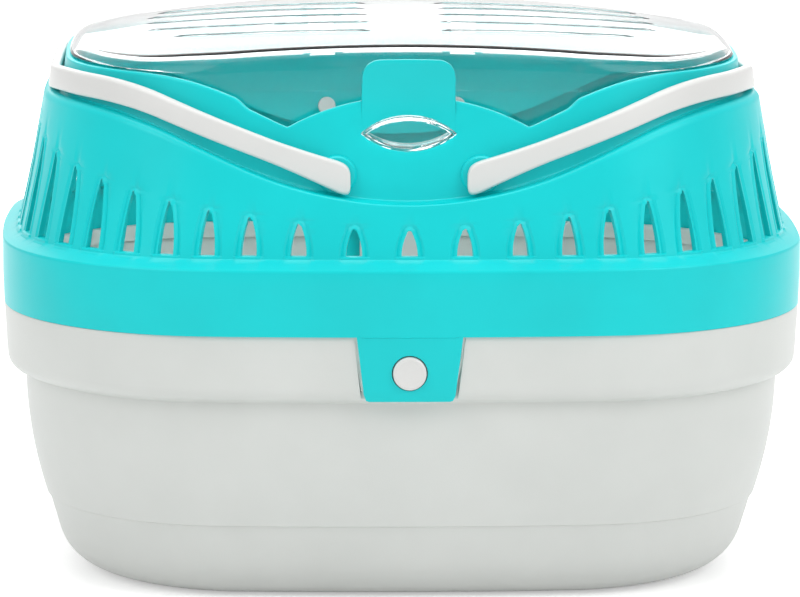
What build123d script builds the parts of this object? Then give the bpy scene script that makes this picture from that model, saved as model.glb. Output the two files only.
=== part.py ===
from build123d import *
import os
from math import asin, cos, degrees, hypot, pi, radians, sin, sqrt, tan

# Small pet carrier: a grey tub, a teal vented cover, a clear hinged lid and two swing handles.
# Millimetres, +Z up, front at -Y. The origin is the middle of the tub's underside.

# Overall plan: every level of the mouldings is one rounded outline, drawn in by an inset
carrier_length = 300.0
carrier_depth = 230.0
corner_radius = 80.0
corner_shrink = 0.65        # how much the corner radius drops for each mm of inset
front_bow = 1000.0          # radius of the long front and rear sides
side_bow = 500.0            # radius of the two ends

# Tub
seat_height = 102.4         # parting line, where the cover sits down
tub_wall = 2.0
tub_floor = 2.4
foot_round = 22.0           # large radius between the underside and the foot
foot_draft = 16.0           # degrees
step_height = 29.5
step_inset = 17.3
belly_bow = 152.0           # vertical radius of the belly
belly_top_inset = 9.0
shoulder_height = 77.5      # underside of the tub's upper band
shoulder_round = 6.0
tub_band_inset = 1.5
tub_band_draft = 3.0        # degrees
collar_rise = 6.0           # the lip that locates the cover inside its skirt
collar_root = 4.0
collar_gap = 0.5
collar_wall = 2.0
outer_facets = (3, 3, 2)    # facets in the outside's foot, belly and shoulder
hollow_facets = (2, 3, 1)   # the same for the hollow

# Cover
cover_wall = 2.2
skirt_top = 129.2
skirt_round = 3.5
skirt_steps = (2, 1)        # facets in the skirt's rounded edge, outside and inside
lower_inset = 7.0           # vented wall at the skirt's top
lower_draft = 10.2          # degrees
rim_height = 192.6
rim_inset = 25.0            # upper wall at the rim
upper_draft = 7.3           # degrees
ledge_low = 148.4           # ledge in the middle of the front
ledge_hollow = 150.0        # arc that lifts the ledge away from the middle
ledge_slope = 24.0          # degrees
ledge_run = 25.0            # length of the straight slope between the two arcs
ledge_crest = 106.0         # arc that levels the ledge out at the ends
side_dip = 178.9            # lowest point of the ledge on each end
side_dip_bow = 320.0
dip_start = 100.0           # the ends begin this far from the middle
hump_top = 185.7            # crown of the front hump under the thumb tab
hump_bow = 90.0
valley_half = 43.5          # half distance between the two low points of the scoop
valley_round = 3.0
scoop_bow = 125.0           # arc from the scoop up to the level rim
scoop_slope = 24.6          # degrees

# Ventilation slots
slot_base = 131.7
slot_width = 5.5
slot_tip = 1.7
slot_low = 139.4            # top of the middle slot
slot_rise = 0.179           # how fast the slot tops climb along the wall
slot_blend = 30.0
slot_front_pitch = 19.9
slot_front_count = 2        # wide-pitched slots on each side of the middle one
slot_step = 17.8            # from the last wide-pitched slot to the next one
slot_pitch = 15.0
slot_zone_top = 171.0       # level between the highest slots and the ledge

# Thumb tab and lens-shaped catch
tab_width = 33.3
tab_foot = 179.1
tab_bend = 186.0
tab_top = 199.3
tab_lean = 9.0              # degrees
tab_thick = 2.2
tab_corner = 6.0
lens_height = 172.6
lens_width = 33.9
lens_tall = 12.4
lens_gap = 0.35
lens_wall = 1.3
lens_proud = 2.7            # how far the catch stands out of the cover
lens_recess = 1.6
lens_flange = 1.6
lens_lip = 2.0              # how far the flange reaches past the cup
lens_seat_gap = 0.6         # from the flange to the lid's apron

# Clear lid
lid_gap = 0.8
lid_wall = 1.8
lid_draft_inset = 1.2       # the apron is this much smaller at its lower edge
apron_bottom = 164.5
lid_waist = 189.0
crown_height = 208.0
crown_bow = 680.0
crown_edge = 4.7            # bevel between the crown and the lid's sides
lid_thin_bevel = 3.8        # the same bevel inside
rib_centre = 190.0          # the ribs are arcs about a point behind the lid
rib_first = 182.0
rib_pitch = 16.4
rib_count = 5
rib_width = 1.2
rib_rise = 0.5
rib_inner = 13.0            # half width of the bare middle of the lid
rib_margin = 27.0           # the ribs stop this far inside the lid's edge

# Lid hinge
hinge_half = 28.0
hinge_back = 2.9            # axis behind the rear rim's inner face
hinge_rise = 1.9            # axis above the rim
lug_width = 9.4
lug_radius = 2.8
lug_gap = 0.3
ear_width = 3.0
ear_radius = 3.0
ear_foot = 12.0
ear_bite = 0.3              # how far the ear's foot starts inside the wall's face
pin_radius = 1.3
pin_clearance = 0.06
notch_depth = 4.4

# Handles
pivot_half = 25.7
pivot_height = 157.85
handle_half_x = 131.0
handle_half_y = 98.6
handle_corner = 66.0
handle_thick = 4.4
handle_tall = 8.4
handle_ease = 1.1           # bevel along the bar's four long edges
handle_flare = 14.0         # the bar widens to its round end over this length
handle_end = 5.7
handle_slope = 21.0         # degrees
handle_turn = 88.0          # half-length where the slope starts to level out
handle_level = 75.0         # radius of that levelling arc
handle_dip = 3.5
handle_dip_reach = 56.0
handle_steps = 14           # straight facets in half a handle
stub_radius = 2.6
stub_head = 3.4
stub_head_thick = 1.8
stub_clearance = 0.06
boss_radius = 7.0
boss_gap = 0.25
head_gap = 0.4

# Front and rear latches
tab_bottom = 78.7
latch_top_width = 38.0
latch_bottom_width = 32.5
latch_tuck = 1.2            # the tab leans in by this much at its lower end
latch_corner = 2.0
latch_side_gap = 1.0
latch_window = 82.0
latch_back_gap = 0.3
window_reach = 12.0         # depth of the window's cut, past the tub's wall
button_height = 89.2
button_radius = 6.0
button_gap = 0.45
button_proud = 0.4
button_edge = 0.6
tongue_width = 24.0
tongue_thick = 2.0
tongue_gap = 0.4
tongue_foot = 82.5
tongue_top = 113.0
guide_gap = 0.3
guide_width = 1.6
guide_depth = 5.5
guide_bottom = 104.0
guide_height = 9.0

half_x = carrier_length / 2
half_y = carrier_depth / 2
through = 400.0             # longer than any part of the carrier
clear = 5.0                 # how far a cutter runs past what it cuts
weld = 1.0                  # how far an added piece runs into what carries it
front_reach = 45.0          # how far a cut through the front runs in


def corner_points(a, b, r):
    """Centre and the two tangent points of the corner arc in the +X, -Y quarter."""
    front_centre = Vector(0, front_bow - b)
    side_centre = Vector(a - side_bow, 0)
    span = side_centre - front_centre
    gap = span.length
    reach_front = front_bow - r
    reach_side = side_bow - r
    along = (reach_front**2 - reach_side**2 + gap**2) / (2 * gap)
    across = sqrt(reach_front**2 - along**2)
    unit = span * (1 / gap)
    normal = Vector(unit.Y, -unit.X)
    if (front_centre + unit * along + normal * across).X < 0:
        normal = normal * -1
    centre = front_centre + unit * along + normal * across
    front_tangent = front_centre + (centre - front_centre) * (front_bow / reach_front)
    side_tangent = side_centre + (centre - side_centre) * (side_bow / reach_side)
    return centre, front_tangent, side_tangent


def ring(a, b, r, z):
    """Closed outline of eight arcs: four bowed sides and four corners."""
    centre, front, side = corner_points(a, b, r)
    out = ((front - centre) + (side - centre)).normalized()
    middle = centre + out * r

    def at(p, sx, sy):
        return (sx * p.X, sy * p.Y, z)

    arcs = [
        ThreePointArc(at(front, -1, 1), (0, -b, z), at(front, 1, 1)),
        ThreePointArc(at(front, 1, 1), at(middle, 1, 1), at(side, 1, 1)),
        ThreePointArc(at(side, 1, 1), (a, 0, z), at(side, 1, -1)),
        ThreePointArc(at(side, 1, -1), at(middle, 1, -1), at(front, 1, -1)),
        ThreePointArc(at(front, 1, -1), (0, b, z), at(front, -1, -1)),
        ThreePointArc(at(front, -1, -1), at(middle, -1, -1), at(side, -1, -1)),
        ThreePointArc(at(side, -1, -1), (-a, 0, z), at(side, -1, 1)),
        ThreePointArc(at(side, -1, 1), at(middle, -1, 1), at(front, -1, 1)),
    ]
    return Wire(arcs)


def level(inset, z):
    """The carrier's outline drawn in by an inset, at a height."""
    return ring(half_x - inset, half_y - inset, corner_radius - corner_shrink * inset, z)


def stack(levels, ruled=True):
    """Solid through a list of (inset, height) levels."""
    return Solid.make_loft([level(inset, z) for inset, z in levels], ruled)


def edge_round(inset, height, radius, first, last, steps):
    """Levels round an edge about a centre, between two angles above the horizontal."""
    turns = [radians(first + (last - first) * i / steps) for i in range(steps + 1)]
    return [(inset - radius * cos(t), height + radius * sin(t)) for t in turns]


def slab_y(face, y_low, y_high):
    """A face drawn in the XZ plane, pushed along Y between two places."""
    return Pos(0, y_low, 0) * extrude(face, amount=y_high - y_low, dir=(0, 1, 0))


def xz(x, z):
    return (x, 0, z)


def mirrored(part, plane):
    return mirror(part, about=plane)


# Tub

def foot_line(z):
    return step_inset + (step_height - z) * tan(radians(foot_draft))


def belly_inset(z):
    return belly_top_inset + (shoulder_height - z) ** 2 / (2 * belly_bow)


def tub_band_at(z):
    return tub_band_inset + (seat_height - z) * tan(radians(tub_band_draft))


def tub_form(wall, floor, top, facets):
    """The tub's outer form, or its hollow when drawn in by the wall."""
    foot_facets, belly_facets, shoulder_facets = facets
    foot_centre = foot_line(foot_round) + foot_round / cos(radians(foot_draft))
    foot_radius = foot_round - wall
    first = -degrees(asin((foot_round - floor) / foot_radius))
    levels = edge_round(foot_centre, foot_round, foot_radius, first, -foot_draft, foot_facets)
    if wall == 0:
        levels.append((step_inset, step_height))
    under = shoulder_height + wall
    for i in range(belly_facets + 1):
        z = step_height + (under - step_height) * i / belly_facets
        levels.append((belly_inset(z) + wall, z))
    band_centre = shoulder_height + shoulder_round
    band_inset = tub_band_at(band_centre) + shoulder_round
    levels += edge_round(band_inset, band_centre, shoulder_round - wall, -90, 0, shoulder_facets)[1:]
    levels.append((tub_band_at(top) + wall, top))
    return stack(levels)


def latch_face(grow, top, bottom):
    """Trapezoid of the latch tab in the XZ plane, grown at its sides."""
    slope = (latch_top_width - latch_bottom_width) / 2 / (seat_height - tab_bottom)
    wide = latch_top_width / 2 + grow + slope * (top - seat_height)
    narrow = latch_top_width / 2 + grow - slope * (seat_height - bottom)
    corners = [xz(-wide, top), xz(-narrow, bottom), xz(narrow, bottom), xz(wide, top)]
    return Face(Polyline(*corners, close=True).wire())


collar_inset = cover_wall + collar_gap
collar_top = seat_height + collar_rise
collar = stack([(collar_inset, seat_height - collar_root), (collar_inset, collar_top)])
collar -= stack([(collar_inset + collar_wall, 0), (collar_inset + collar_wall, collar_top + clear)])
tub = tub_form(0, 0, seat_height, outer_facets)
tub -= tub_form(tub_wall, tub_floor, seat_height + clear, hollow_facets)
tub += collar
recess_inset = latch_tuck + cover_wall + latch_back_gap
recess_face = latch_face(latch_side_gap, seat_height, tab_bottom - latch_side_gap)
recess_core = stack([(recess_inset, tab_bottom - clear), (recess_inset, seat_height + clear)])
recess = slab_y(recess_face, -half_y - clear, -half_y / 2) - recess_core
window_face = latch_face(latch_side_gap, collar_top + clear, latch_window)
window = slab_y(window_face, -half_y - clear, -half_y + window_reach)
tub -= recess + mirrored(recess, Plane.XZ)
tub -= window + mirrored(window, Plane.XZ)


# Cover

def lower_at(z):
    return lower_inset + (z - skirt_top) * tan(radians(lower_draft))


def upper_at(z):
    return rim_inset - (rim_height - z) * tan(radians(upper_draft))


def ledge_face(drop):
    """Everything above the ledge line, in the XZ plane, lowered by a drop."""
    turn = radians(ledge_slope)
    x1 = ledge_hollow * sin(turn)
    z1 = ledge_low + ledge_hollow * (1 - cos(turn)) - drop
    x2 = x1 + ledge_run * cos(turn)
    z2 = z1 + ledge_run * sin(turn)
    x3 = x2 + ledge_crest * sin(turn)
    z3 = z2 + ledge_crest * (1 - cos(turn))
    xm = x3 - ledge_crest * sin(turn / 2)
    zm = z3 - ledge_crest * (1 - cos(turn / 2))
    edges = [
        ThreePointArc(xz(-x1, z1), xz(0, ledge_low - drop), xz(x1, z1)),
        Line(xz(x1, z1), xz(x2, z2)),
        ThreePointArc(xz(x2, z2), xz(xm, zm), xz(x3, z3)),
        Line(xz(x3, z3), xz(through, z3)),
        Line(xz(through, z3), xz(through, through)),
        Line(xz(through, through), xz(-through, through)),
        Line(xz(-through, through), xz(-through, z3)),
        Line(xz(-through, z3), xz(-x3, z3)),
        ThreePointArc(xz(-x3, z3), xz(-xm, zm), xz(-x2, z2)),
        Line(xz(-x2, z2), xz(-x1, z1)),
    ]
    return Face(Wire(edges))


def scoop_face():
    """What is cut away above the front rim: a hump between two valleys, then arcs up to the level rim."""
    slope = radians(scoop_slope)
    valley = hump_top - hump_bow + sqrt(hump_bow**2 - valley_half**2)
    z1 = rim_height - scoop_bow * (1 - cos(slope))
    x1 = valley_half + (z1 - valley) / tan(slope)
    x2 = x1 + scoop_bow * sin(slope)
    xm = x2 - scoop_bow * sin(slope / 2)
    zm = rim_height - scoop_bow * (1 - cos(slope / 2))
    above = rim_height + clear
    edges = [
        ThreePointArc(xz(-valley_half, valley), xz(0, hump_top), xz(valley_half, valley)),
        Line(xz(valley_half, valley), xz(x1, z1)),
        ThreePointArc(xz(x1, z1), xz(xm, zm), xz(x2, rim_height)),
        Line(xz(x2, rim_height), xz(x2, above)),
        Line(xz(x2, above), xz(-x2, above)),
        Line(xz(-x2, above), xz(-x2, rim_height)),
        ThreePointArc(xz(-x2, rim_height), xz(-xm, zm), xz(-x1, z1)),
        Line(xz(-x1, z1), xz(-valley_half, valley)),
    ]
    face = Face(Wire(edges))
    return fillet(face.vertices().group_by(Axis.Z)[0], valley_round)


def cover_body(wall, top, steps):
    """The cover's outer form, or its hollow when drawn in by the wall."""
    base = seat_height - wall
    skirt = [(wall, base)]
    skirt += edge_round(skirt_round, skirt_top - skirt_round, skirt_round - wall, 0, 90, steps)
    lower_levels = [skirt_top - skirt_round, slot_zone_top, rim_height]
    lower = stack([(lower_at(z) + wall, z) for z in lower_levels])
    lower -= slab_y(ledge_face(wall), -through, through)
    dip_axis = Pos(0, 0, side_dip - wall + side_dip_bow) * Rot(0, 90, 0)
    dip = dip_axis * Cylinder(side_dip_bow, through)
    lower -= dip - Box(2 * dip_start, through, through * 2)
    upper_levels = [base, ledge_low, slot_zone_top, top]
    upper = stack([(upper_at(z) + wall, z) for z in upper_levels])
    return stack(skirt) + lower + upper


def ring_spot(a, b, r, s):
    """Point and outward normal at a distance along an outline, from the front middle to the end middle."""
    centre, front, side = corner_points(a, b, r)
    front_angle = asin(front.X / front_bow)
    side_angle = asin(-side.Y / side_bow)
    front_length = front_bow * front_angle
    corner_length = r * (pi / 2 - front_angle - side_angle)
    if s < front_length:
        angle = s / front_bow
        normal = Vector(sin(angle), -cos(angle), 0)
        return Vector(0, front_bow - b, 0) + normal * front_bow, normal
    if s < front_length + corner_length:
        angle = front_angle + (s - front_length) / r
        normal = Vector(sin(angle), -cos(angle), 0)
        return centre + normal * r, normal
    angle = side_angle - (s - front_length - corner_length) / side_bow
    normal = Vector(cos(angle), -sin(angle), 0)
    return Vector(a - side_bow, 0, 0) + normal * side_bow, normal


def ring_length(a, b, r):
    """Length of a quarter of the outline."""
    centre, front, side = corner_points(a, b, r)
    front_angle = asin(front.X / front_bow)
    side_angle = asin(-side.Y / side_bow)
    return front_bow * front_angle + r * (pi / 2 - front_angle - side_angle) + side_bow * side_angle


def slot_cutter(s):
    """One tapered slot with a pointed tip, square to the wall at a distance along it."""
    a = half_x - lower_inset
    b = half_y - lower_inset
    point, normal = ring_spot(a, b, corner_radius - corner_shrink * lower_inset, s)
    top = slot_low + slot_rise * (hypot(s, slot_blend) - slot_blend)
    plane = Plane(origin=point, x_dir=Vector(-normal.Y, normal.X, 0), z_dir=normal)
    wide = slot_width / 2
    tip = slot_tip / 2
    corners = [(-wide, slot_base), (wide, slot_base), (tip, top - tip), (0, top), (-tip, top - tip)]
    deep = 2 * cover_wall + (top - skirt_top) * tan(radians(lower_draft))
    return extrude(plane * Face(Polyline(*corners, close=True).wire()), amount=deep, both=True)


def slot_places():
    """Distances of the slots along one quarter of the wall, the middle one left out."""
    inset_radius = corner_radius - corner_shrink * lower_inset
    quarter = ring_length(half_x - lower_inset, half_y - lower_inset, inset_radius)
    wide = [slot_front_pitch * (i + 1) for i in range(slot_front_count)]
    start = wide[-1] + slot_step
    count = round((quarter - start) / slot_pitch - 0.5)
    pitch = (quarter - start) / (count + 0.5)
    return wide + [start + pitch * i for i in range(count + 1)]


def lens_face(grow):
    wide = lens_width / 2 + grow
    tall = lens_tall / 2 + grow
    upper = ThreePointArc(xz(-wide, lens_height), xz(0, lens_height + tall), xz(wide, lens_height))
    lower = ThreePointArc(xz(wide, lens_height), xz(0, lens_height - tall), xz(-wide, lens_height))
    return Face(Wire([upper, lower]))


def rod_y(radius, x, z, y_low, y_high):
    """Round bar along Y."""
    bar = Rot(-90, 0, 0) * Cylinder(radius, y_high - y_low, align=(Align.CENTER, Align.CENTER, Align.MIN))
    return Pos(x, y_low, z) * bar


def rod_x(radius, x_low, x_high, y, z):
    """Round bar along X."""
    bar = Rot(0, 90, 0) * Cylinder(radius, x_high - x_low, align=(Align.CENTER, Align.CENTER, Align.MIN))
    return Pos(x_low, y, z) * bar


def plate_x(points, x_low, x_high):
    """A YZ outline pushed along X between two places."""
    face = Face(Polyline(*[(0, y, z) for y, z in points], close=True).wire())
    return Pos(x_low, 0, 0) * extrude(face, amount=x_high - x_low, dir=(1, 0, 0))


def bow_back(x):
    """How far a long side has curved back at a distance from its middle."""
    return front_bow - sqrt(front_bow**2 - x**2)


outer_steps, inner_steps = skirt_steps
cover = cover_body(0, rim_height, outer_steps) - cover_body(cover_wall, rim_height + clear, inner_steps)
scoop = slab_y(scoop_face(), -half_y - clear, 0)
cover -= scoop

# Thumb tab, bent forward above the hump
tab_y = -(half_y - upper_at(tab_foot))
tab_reach = (tab_top - tab_bend) * tan(radians(tab_lean))
tab_side = [
    (tab_y, tab_foot),
    (tab_y, tab_bend),
    (tab_y - tab_reach, tab_top),
    (tab_y - tab_reach + tab_thick, tab_top),
    (tab_y + tab_thick, tab_bend),
    (tab_y + tab_thick, tab_foot),
]
tab_front = Face(Polyline(
    xz(-tab_width / 2, tab_foot), xz(tab_width / 2, tab_foot),
    xz(tab_width / 2, tab_top), xz(-tab_width / 2, tab_top), close=True,
).wire())
tab_front = fillet(tab_front.vertices().group_by(Axis.Z)[-1], tab_corner)
cover += plate_x(tab_side, -tab_width / 2, tab_width / 2) & slab_y(tab_front, -half_y, 0)

# Bosses that carry the handles
arm_y = -handle_half_y + bow_back(pivot_half)
arm_inner = arm_y + handle_thick / 2
wall_inner = -(half_y - upper_at(pivot_height) - cover_wall) + bow_back(pivot_half)
boss = rod_y(boss_radius, pivot_half, pivot_height, arm_inner + boss_gap, wall_inner - cover_wall / 2)
hole_ends = (arm_inner - clear, wall_inner + clear)
stub_hole = rod_y(stub_radius + stub_clearance, pivot_half, pivot_height, *hole_ends)
for plane in (None, Plane.YZ):
    for turn in (None, Plane.XZ):
        piece = boss
        hole = stub_hole
        if plane:
            piece = mirrored(piece, plane)
            hole = mirrored(hole, plane)
        if turn:
            piece = mirrored(piece, turn)
            hole = mirrored(hole, turn)
        cover += piece
        cover -= hole

# Latch tabs front and rear, each with the hole for its button
tab_edge = latch_face(0, seat_height + weld, tab_bottom)
tab_edge = fillet(tab_edge.vertices().group_by(Axis.Z)[0], latch_corner)
tab_levels = [(latch_tuck, tab_bottom), (0, seat_height), (0, seat_height + weld)]
tab_shell = stack(tab_levels) - stack([(inset + cover_wall, z) for inset, z in tab_levels])
latch_tab = slab_y(tab_edge, -half_y - clear, 0) & tab_shell
latch_tab -= rod_y(button_radius + button_gap, 0, button_height, -half_y - clear, -half_y + window_reach)
cover += latch_tab + mirrored(latch_tab, Plane.XZ)

# Two guide ribs behind each tab, which hold the upper end of the latch's tongue
for side in (-1, 1):
    rib_middle = side * (tongue_width / 2 + guide_gap + guide_width / 2)
    guide = Pos(rib_middle, -half_y + cover_wall / 2, guide_bottom) * Box(
        guide_width, guide_depth + cover_wall / 2, guide_height, align=(Align.CENTER, Align.MIN, Align.MIN)
    )
    cover += guide + mirrored(guide, Plane.XZ)

# Hinge ears on the rear rim, with a notch between each pair for the lid's lug
hinge_y = half_y - rim_inset - cover_wall + hinge_back
hinge_z = rim_height + hinge_rise
lug_half = lug_width / 2 + lug_gap
wall_back = half_y - upper_at(rim_height - ear_foot)
ear_side = [
    (wall_back - cover_wall / 2, rim_height - ear_foot),
    (wall_back - ear_bite, rim_height - ear_foot),
    (hinge_y + ear_radius, hinge_z),
    (hinge_y - ear_radius, hinge_z),
    (half_y - rim_inset - cover_wall / 2, rim_height - cover_wall),
]
for side in (-1, 1):
    middle = side * hinge_half
    cover -= Pos(middle, hinge_y, rim_height - notch_depth) * Box(
        2 * lug_half, 4 * clear, 4 * clear, align=(Align.CENTER, Align.CENTER, Align.MIN)
    )
    for place in (middle - lug_half - ear_width, middle + lug_half):
        ear = plate_x(ear_side, place, place + ear_width)
        ear += rod_x(ear_radius, place, place + ear_width, hinge_y, hinge_z)
        ear -= rod_x(pin_radius, place, place + ear_width, hinge_y, hinge_z)
        cover += ear

cover -= slab_y(lens_face(lens_gap), -half_y, -half_y + front_reach)
slots = [slot_cutter(0)]
slots += [mirrored(slots[0], Plane.XZ)]
for place in slot_places():
    cutter = slot_cutter(place)
    back = mirrored(cutter, Plane.XZ)
    slots += [cutter, back, mirrored(cutter, Plane.YZ), mirrored(back, Plane.YZ)]
cover -= slots


# Clear lid

lid_inset = rim_inset + cover_wall + lid_gap


def crown(grow):
    """The ball whose top is the lid's crown, with its axis lying along Y."""
    return Pos(0, 0, crown_height - crown_bow) * Rot(90, 0, 0) * Sphere(crown_bow + grow)


def apron_at(z):
    return lid_inset + lid_draft_inset * (lid_waist - z) / (lid_waist - apron_bottom)


def lid_form(wall, bottom, bevel):
    """The lid's outer form, or its hollow when drawn in by the wall."""
    waist = lid_inset + wall
    upper = Pos(0, 0, lid_waist) * extrude(Face(level(waist, 0)), amount=crown_height - lid_waist + wall)
    upper &= crown(-wall)
    upper = chamfer(upper.faces().sort_by(Axis.Z)[-1].edges(), bevel)
    return upper + stack([(apron_at(bottom) + wall, bottom), (waist, lid_waist)])


lid = lid_form(0, apron_bottom, crown_edge) - lid_form(lid_wall, apron_bottom - clear, lid_thin_bevel)
lid = lid.fix()

rib_area = extrude(Face(level(lid_inset + rib_margin, 0)), amount=crown_height + clear)
rib_area -= Box(2 * rib_inner, through, through * 2)
rib_shell = crown(rib_rise) - crown(-lid_wall / 2)
rib_strips = []
for i in range(rib_count):
    radius = rib_first + i * rib_pitch
    band = Cylinder(radius + rib_width / 2, through * 2) - Cylinder(radius - rib_width / 2, through * 2)
    rib_strips.append(Pos(0, rib_centre, 0) * band & rib_area & rib_shell)
for strip in rib_strips:
    lid += strip

lug_side = [
    (hinge_y, hinge_z + lug_radius),
    (half_y - lid_inset - lid_wall / 2, hinge_z + lug_radius),
    (half_y - lid_inset - lid_wall / 2, hinge_z - lug_radius),
    (hinge_y, hinge_z - lug_radius),
]
for side in (-1, 1):
    low = side * hinge_half - lug_width / 2
    lug = plate_x(lug_side, low, low + lug_width) + rod_x(lug_radius, low, low + lug_width, hinge_y, hinge_z)
    lid += lug
    lid -= rod_x(pin_radius + pin_clearance, low, low + lug_width, hinge_y, hinge_z)
lid -= slab_y(lens_face(lens_gap), -half_y, -half_y + front_reach)

pins = []
for side in (-1, 1):
    reach = lug_half + ear_width
    pins.append(rod_x(pin_radius, side * hinge_half - reach, side * hinge_half + reach, hinge_y, hinge_z))
hinge_pins = Compound(children=pins)

# Lens-shaped catch: a cup on a flange, which slides through the lid's apron and the cover
lens_front = -(half_y - upper_at(lens_height)) - lens_proud
flange_front = -(half_y - apron_at(lens_height) - lid_wall) + lens_seat_gap
catch = slab_y(lens_face(0), lens_front, flange_front + lens_flange)
catch += slab_y(lens_face(lens_lip), flange_front, flange_front + lens_flange)
catch -= slab_y(lens_face(-lens_wall), lens_front - clear, lens_front + lens_recess)
catch -= slab_y(lens_face(-lens_wall), lens_front + lens_recess + lens_wall, flange_front + clear)


# Handles

def handle_height(x, y):
    """Height of the bar's middle: up a slope, level round the corner, with a dip along the end."""
    slope = radians(handle_slope)
    turn_z = pivot_height + (handle_turn - pivot_half) * tan(slope)
    level_x = handle_turn + handle_level * sin(slope)
    level_z = turn_z + handle_level * (1 - cos(slope))
    if x < handle_turn:
        z = pivot_height + (x - pivot_half) * tan(slope)
    elif x < level_x:
        z = level_z - handle_level + sqrt(handle_level**2 - (level_x - x) ** 2)
    else:
        z = level_z
    return z - handle_dip * cos(pi / 2 * min(abs(y) / handle_dip_reach, 1)) ** 2


def handle_section(s, start):
    """Eight-sided outline of the bar, upright and square to its path."""
    point, normal = ring_spot(handle_half_x, handle_half_y, handle_corner, s)
    flare = (2 * handle_end - handle_tall) * max(0, 1 - (s - start) / handle_flare) ** 2
    tall = (handle_tall + flare) / 2
    thick = handle_thick / 2
    middle = Vector(point.X, point.Y, handle_height(point.X, point.Y))
    quarter = [(thick, tall - handle_ease), (thick - handle_ease, tall)]
    half = quarter + [(-out, up) for out, up in reversed(quarter)]
    outline = half + [(-out, -up) for out, up in half]
    return [middle + normal * out + Vector(0, 0, up) for out, up in outline]


def section_wire(points, flip):
    """The outline as a wire, mirrored to the rear half where asked."""
    turn = -1 if flip else 1
    return Polyline(*[(p.X, turn * p.Y, p.Z) for p in points], close=True).wire()


bail_start = front_bow * asin(pivot_half / front_bow)
bail_length = ring_length(handle_half_x, handle_half_y, handle_corner)
bail_places = [bail_start + (bail_length - bail_start) * i / handle_steps for i in range(handle_steps + 1)]
bail_sections = [handle_section(s, bail_start) for s in bail_places]
bail_wires = [section_wire(section, False) for section in bail_sections]
bail_wires += [section_wire(section, True) for section in reversed(bail_sections[:-1])]
right_handle = Solid.make_loft(bail_wires, True)
head_start = wall_inner + stub_head * tan(radians(upper_draft)) + head_gap
arm_end = rod_y(handle_end, pivot_half, pivot_height, arm_y - handle_thick / 2, arm_inner)
stub = rod_y(stub_radius, pivot_half, pivot_height, arm_y, head_start + stub_head_thick / 2)
head = rod_y(stub_head, pivot_half, pivot_height, head_start, head_start + stub_head_thick)
pivot = arm_end + stub + head
right_handle += pivot
right_handle += mirrored(pivot, Plane.XZ)
left_handle = mirrored(right_handle, Plane.YZ)

# Latch: a spring tongue behind the tab, with the round button that fills the tab's hole
tongue_front = -(half_y - latch_tuck - cover_wall - tongue_gap)
tongue = Pos(0, tongue_front, tongue_foot) * Box(
    tongue_width, tongue_thick, tongue_top - tongue_foot, align=(Align.CENTER, Align.MIN, Align.MIN)
)
tongue = chamfer(tongue.edges().filter_by(Axis.Y), latch_corner)
button = rod_y(button_radius, 0, button_height, -half_y - button_proud, tongue_front + tongue_thick / 2)
button = chamfer(button.edges().filter_by(GeomType.CIRCLE).group_by(Axis.Y)[0], button_edge)
front_latch = tongue + button
rear_latch = mirrored(front_latch, Plane.XZ)

parts = {
    "base_tub": tub,
    "cover_shell": cover,
    "clear_lid": lid,
    "lid_hinge_pins": hinge_pins,
    "lid_release_catch": catch,
    "left_handle": left_handle,
    "right_handle": right_handle,
    "front_latch_button": front_latch,
    "rear_latch_button": rear_latch,
}

os.makedirs("parts", exist_ok=True)
for name, part in parts.items():
    export_step(part, f"parts/{name}.step")
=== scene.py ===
import bpy
import math
import numpy as np
from mathutils import Matrix, Vector


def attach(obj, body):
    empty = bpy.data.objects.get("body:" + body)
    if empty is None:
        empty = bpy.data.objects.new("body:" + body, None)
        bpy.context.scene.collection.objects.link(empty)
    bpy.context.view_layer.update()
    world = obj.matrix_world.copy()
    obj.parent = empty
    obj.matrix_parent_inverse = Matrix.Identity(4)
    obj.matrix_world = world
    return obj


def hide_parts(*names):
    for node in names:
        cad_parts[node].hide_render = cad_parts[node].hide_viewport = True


# Small pet carrier. Lengths are millimetres in the dictionaries and metres in the meshes.
# The front faces -Y, the length runs along X, and the origin is under the middle of the tub.

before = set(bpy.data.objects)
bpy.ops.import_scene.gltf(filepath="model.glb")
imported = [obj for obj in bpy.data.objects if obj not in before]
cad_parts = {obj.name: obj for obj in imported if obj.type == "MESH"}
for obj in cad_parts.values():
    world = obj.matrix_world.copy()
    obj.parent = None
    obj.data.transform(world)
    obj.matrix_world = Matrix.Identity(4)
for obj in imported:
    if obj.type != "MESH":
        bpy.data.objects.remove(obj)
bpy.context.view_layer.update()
mm = 0.001

plan = dict(halfX=150.0, halfY=115.0, corner=80.0, shrink=0.65, frontBow=1000.0, sideBow=500.0)
seatHeight = 102.4  # parting line between tub and cover


# Outline of the carrier

# Centre of the corner arc, and the angles where it meets the front and the end.
# The centre is frontBow - r from the front arc's centre and sideBow - r from the end arc's.
def cornerOf(a, b, r):
    dx, dy = a - plan["sideBow"], b - plan["frontBow"]
    gap = np.hypot(dx, dy)
    reachF, reachS = plan["frontBow"] - r, plan["sideBow"] - r
    along = (reachF**2 - reachS**2 + gap**2) / (2 * gap)
    across = np.sqrt(reachF**2 - along**2)
    ux, uy = dx / gap, dy / gap
    cx = ux * along - uy * across
    cy = plan["frontBow"] - b + uy * along + ux * across
    return cx, cy, np.arcsin(cx / reachF), np.arcsin(-cy / reachS)


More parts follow.
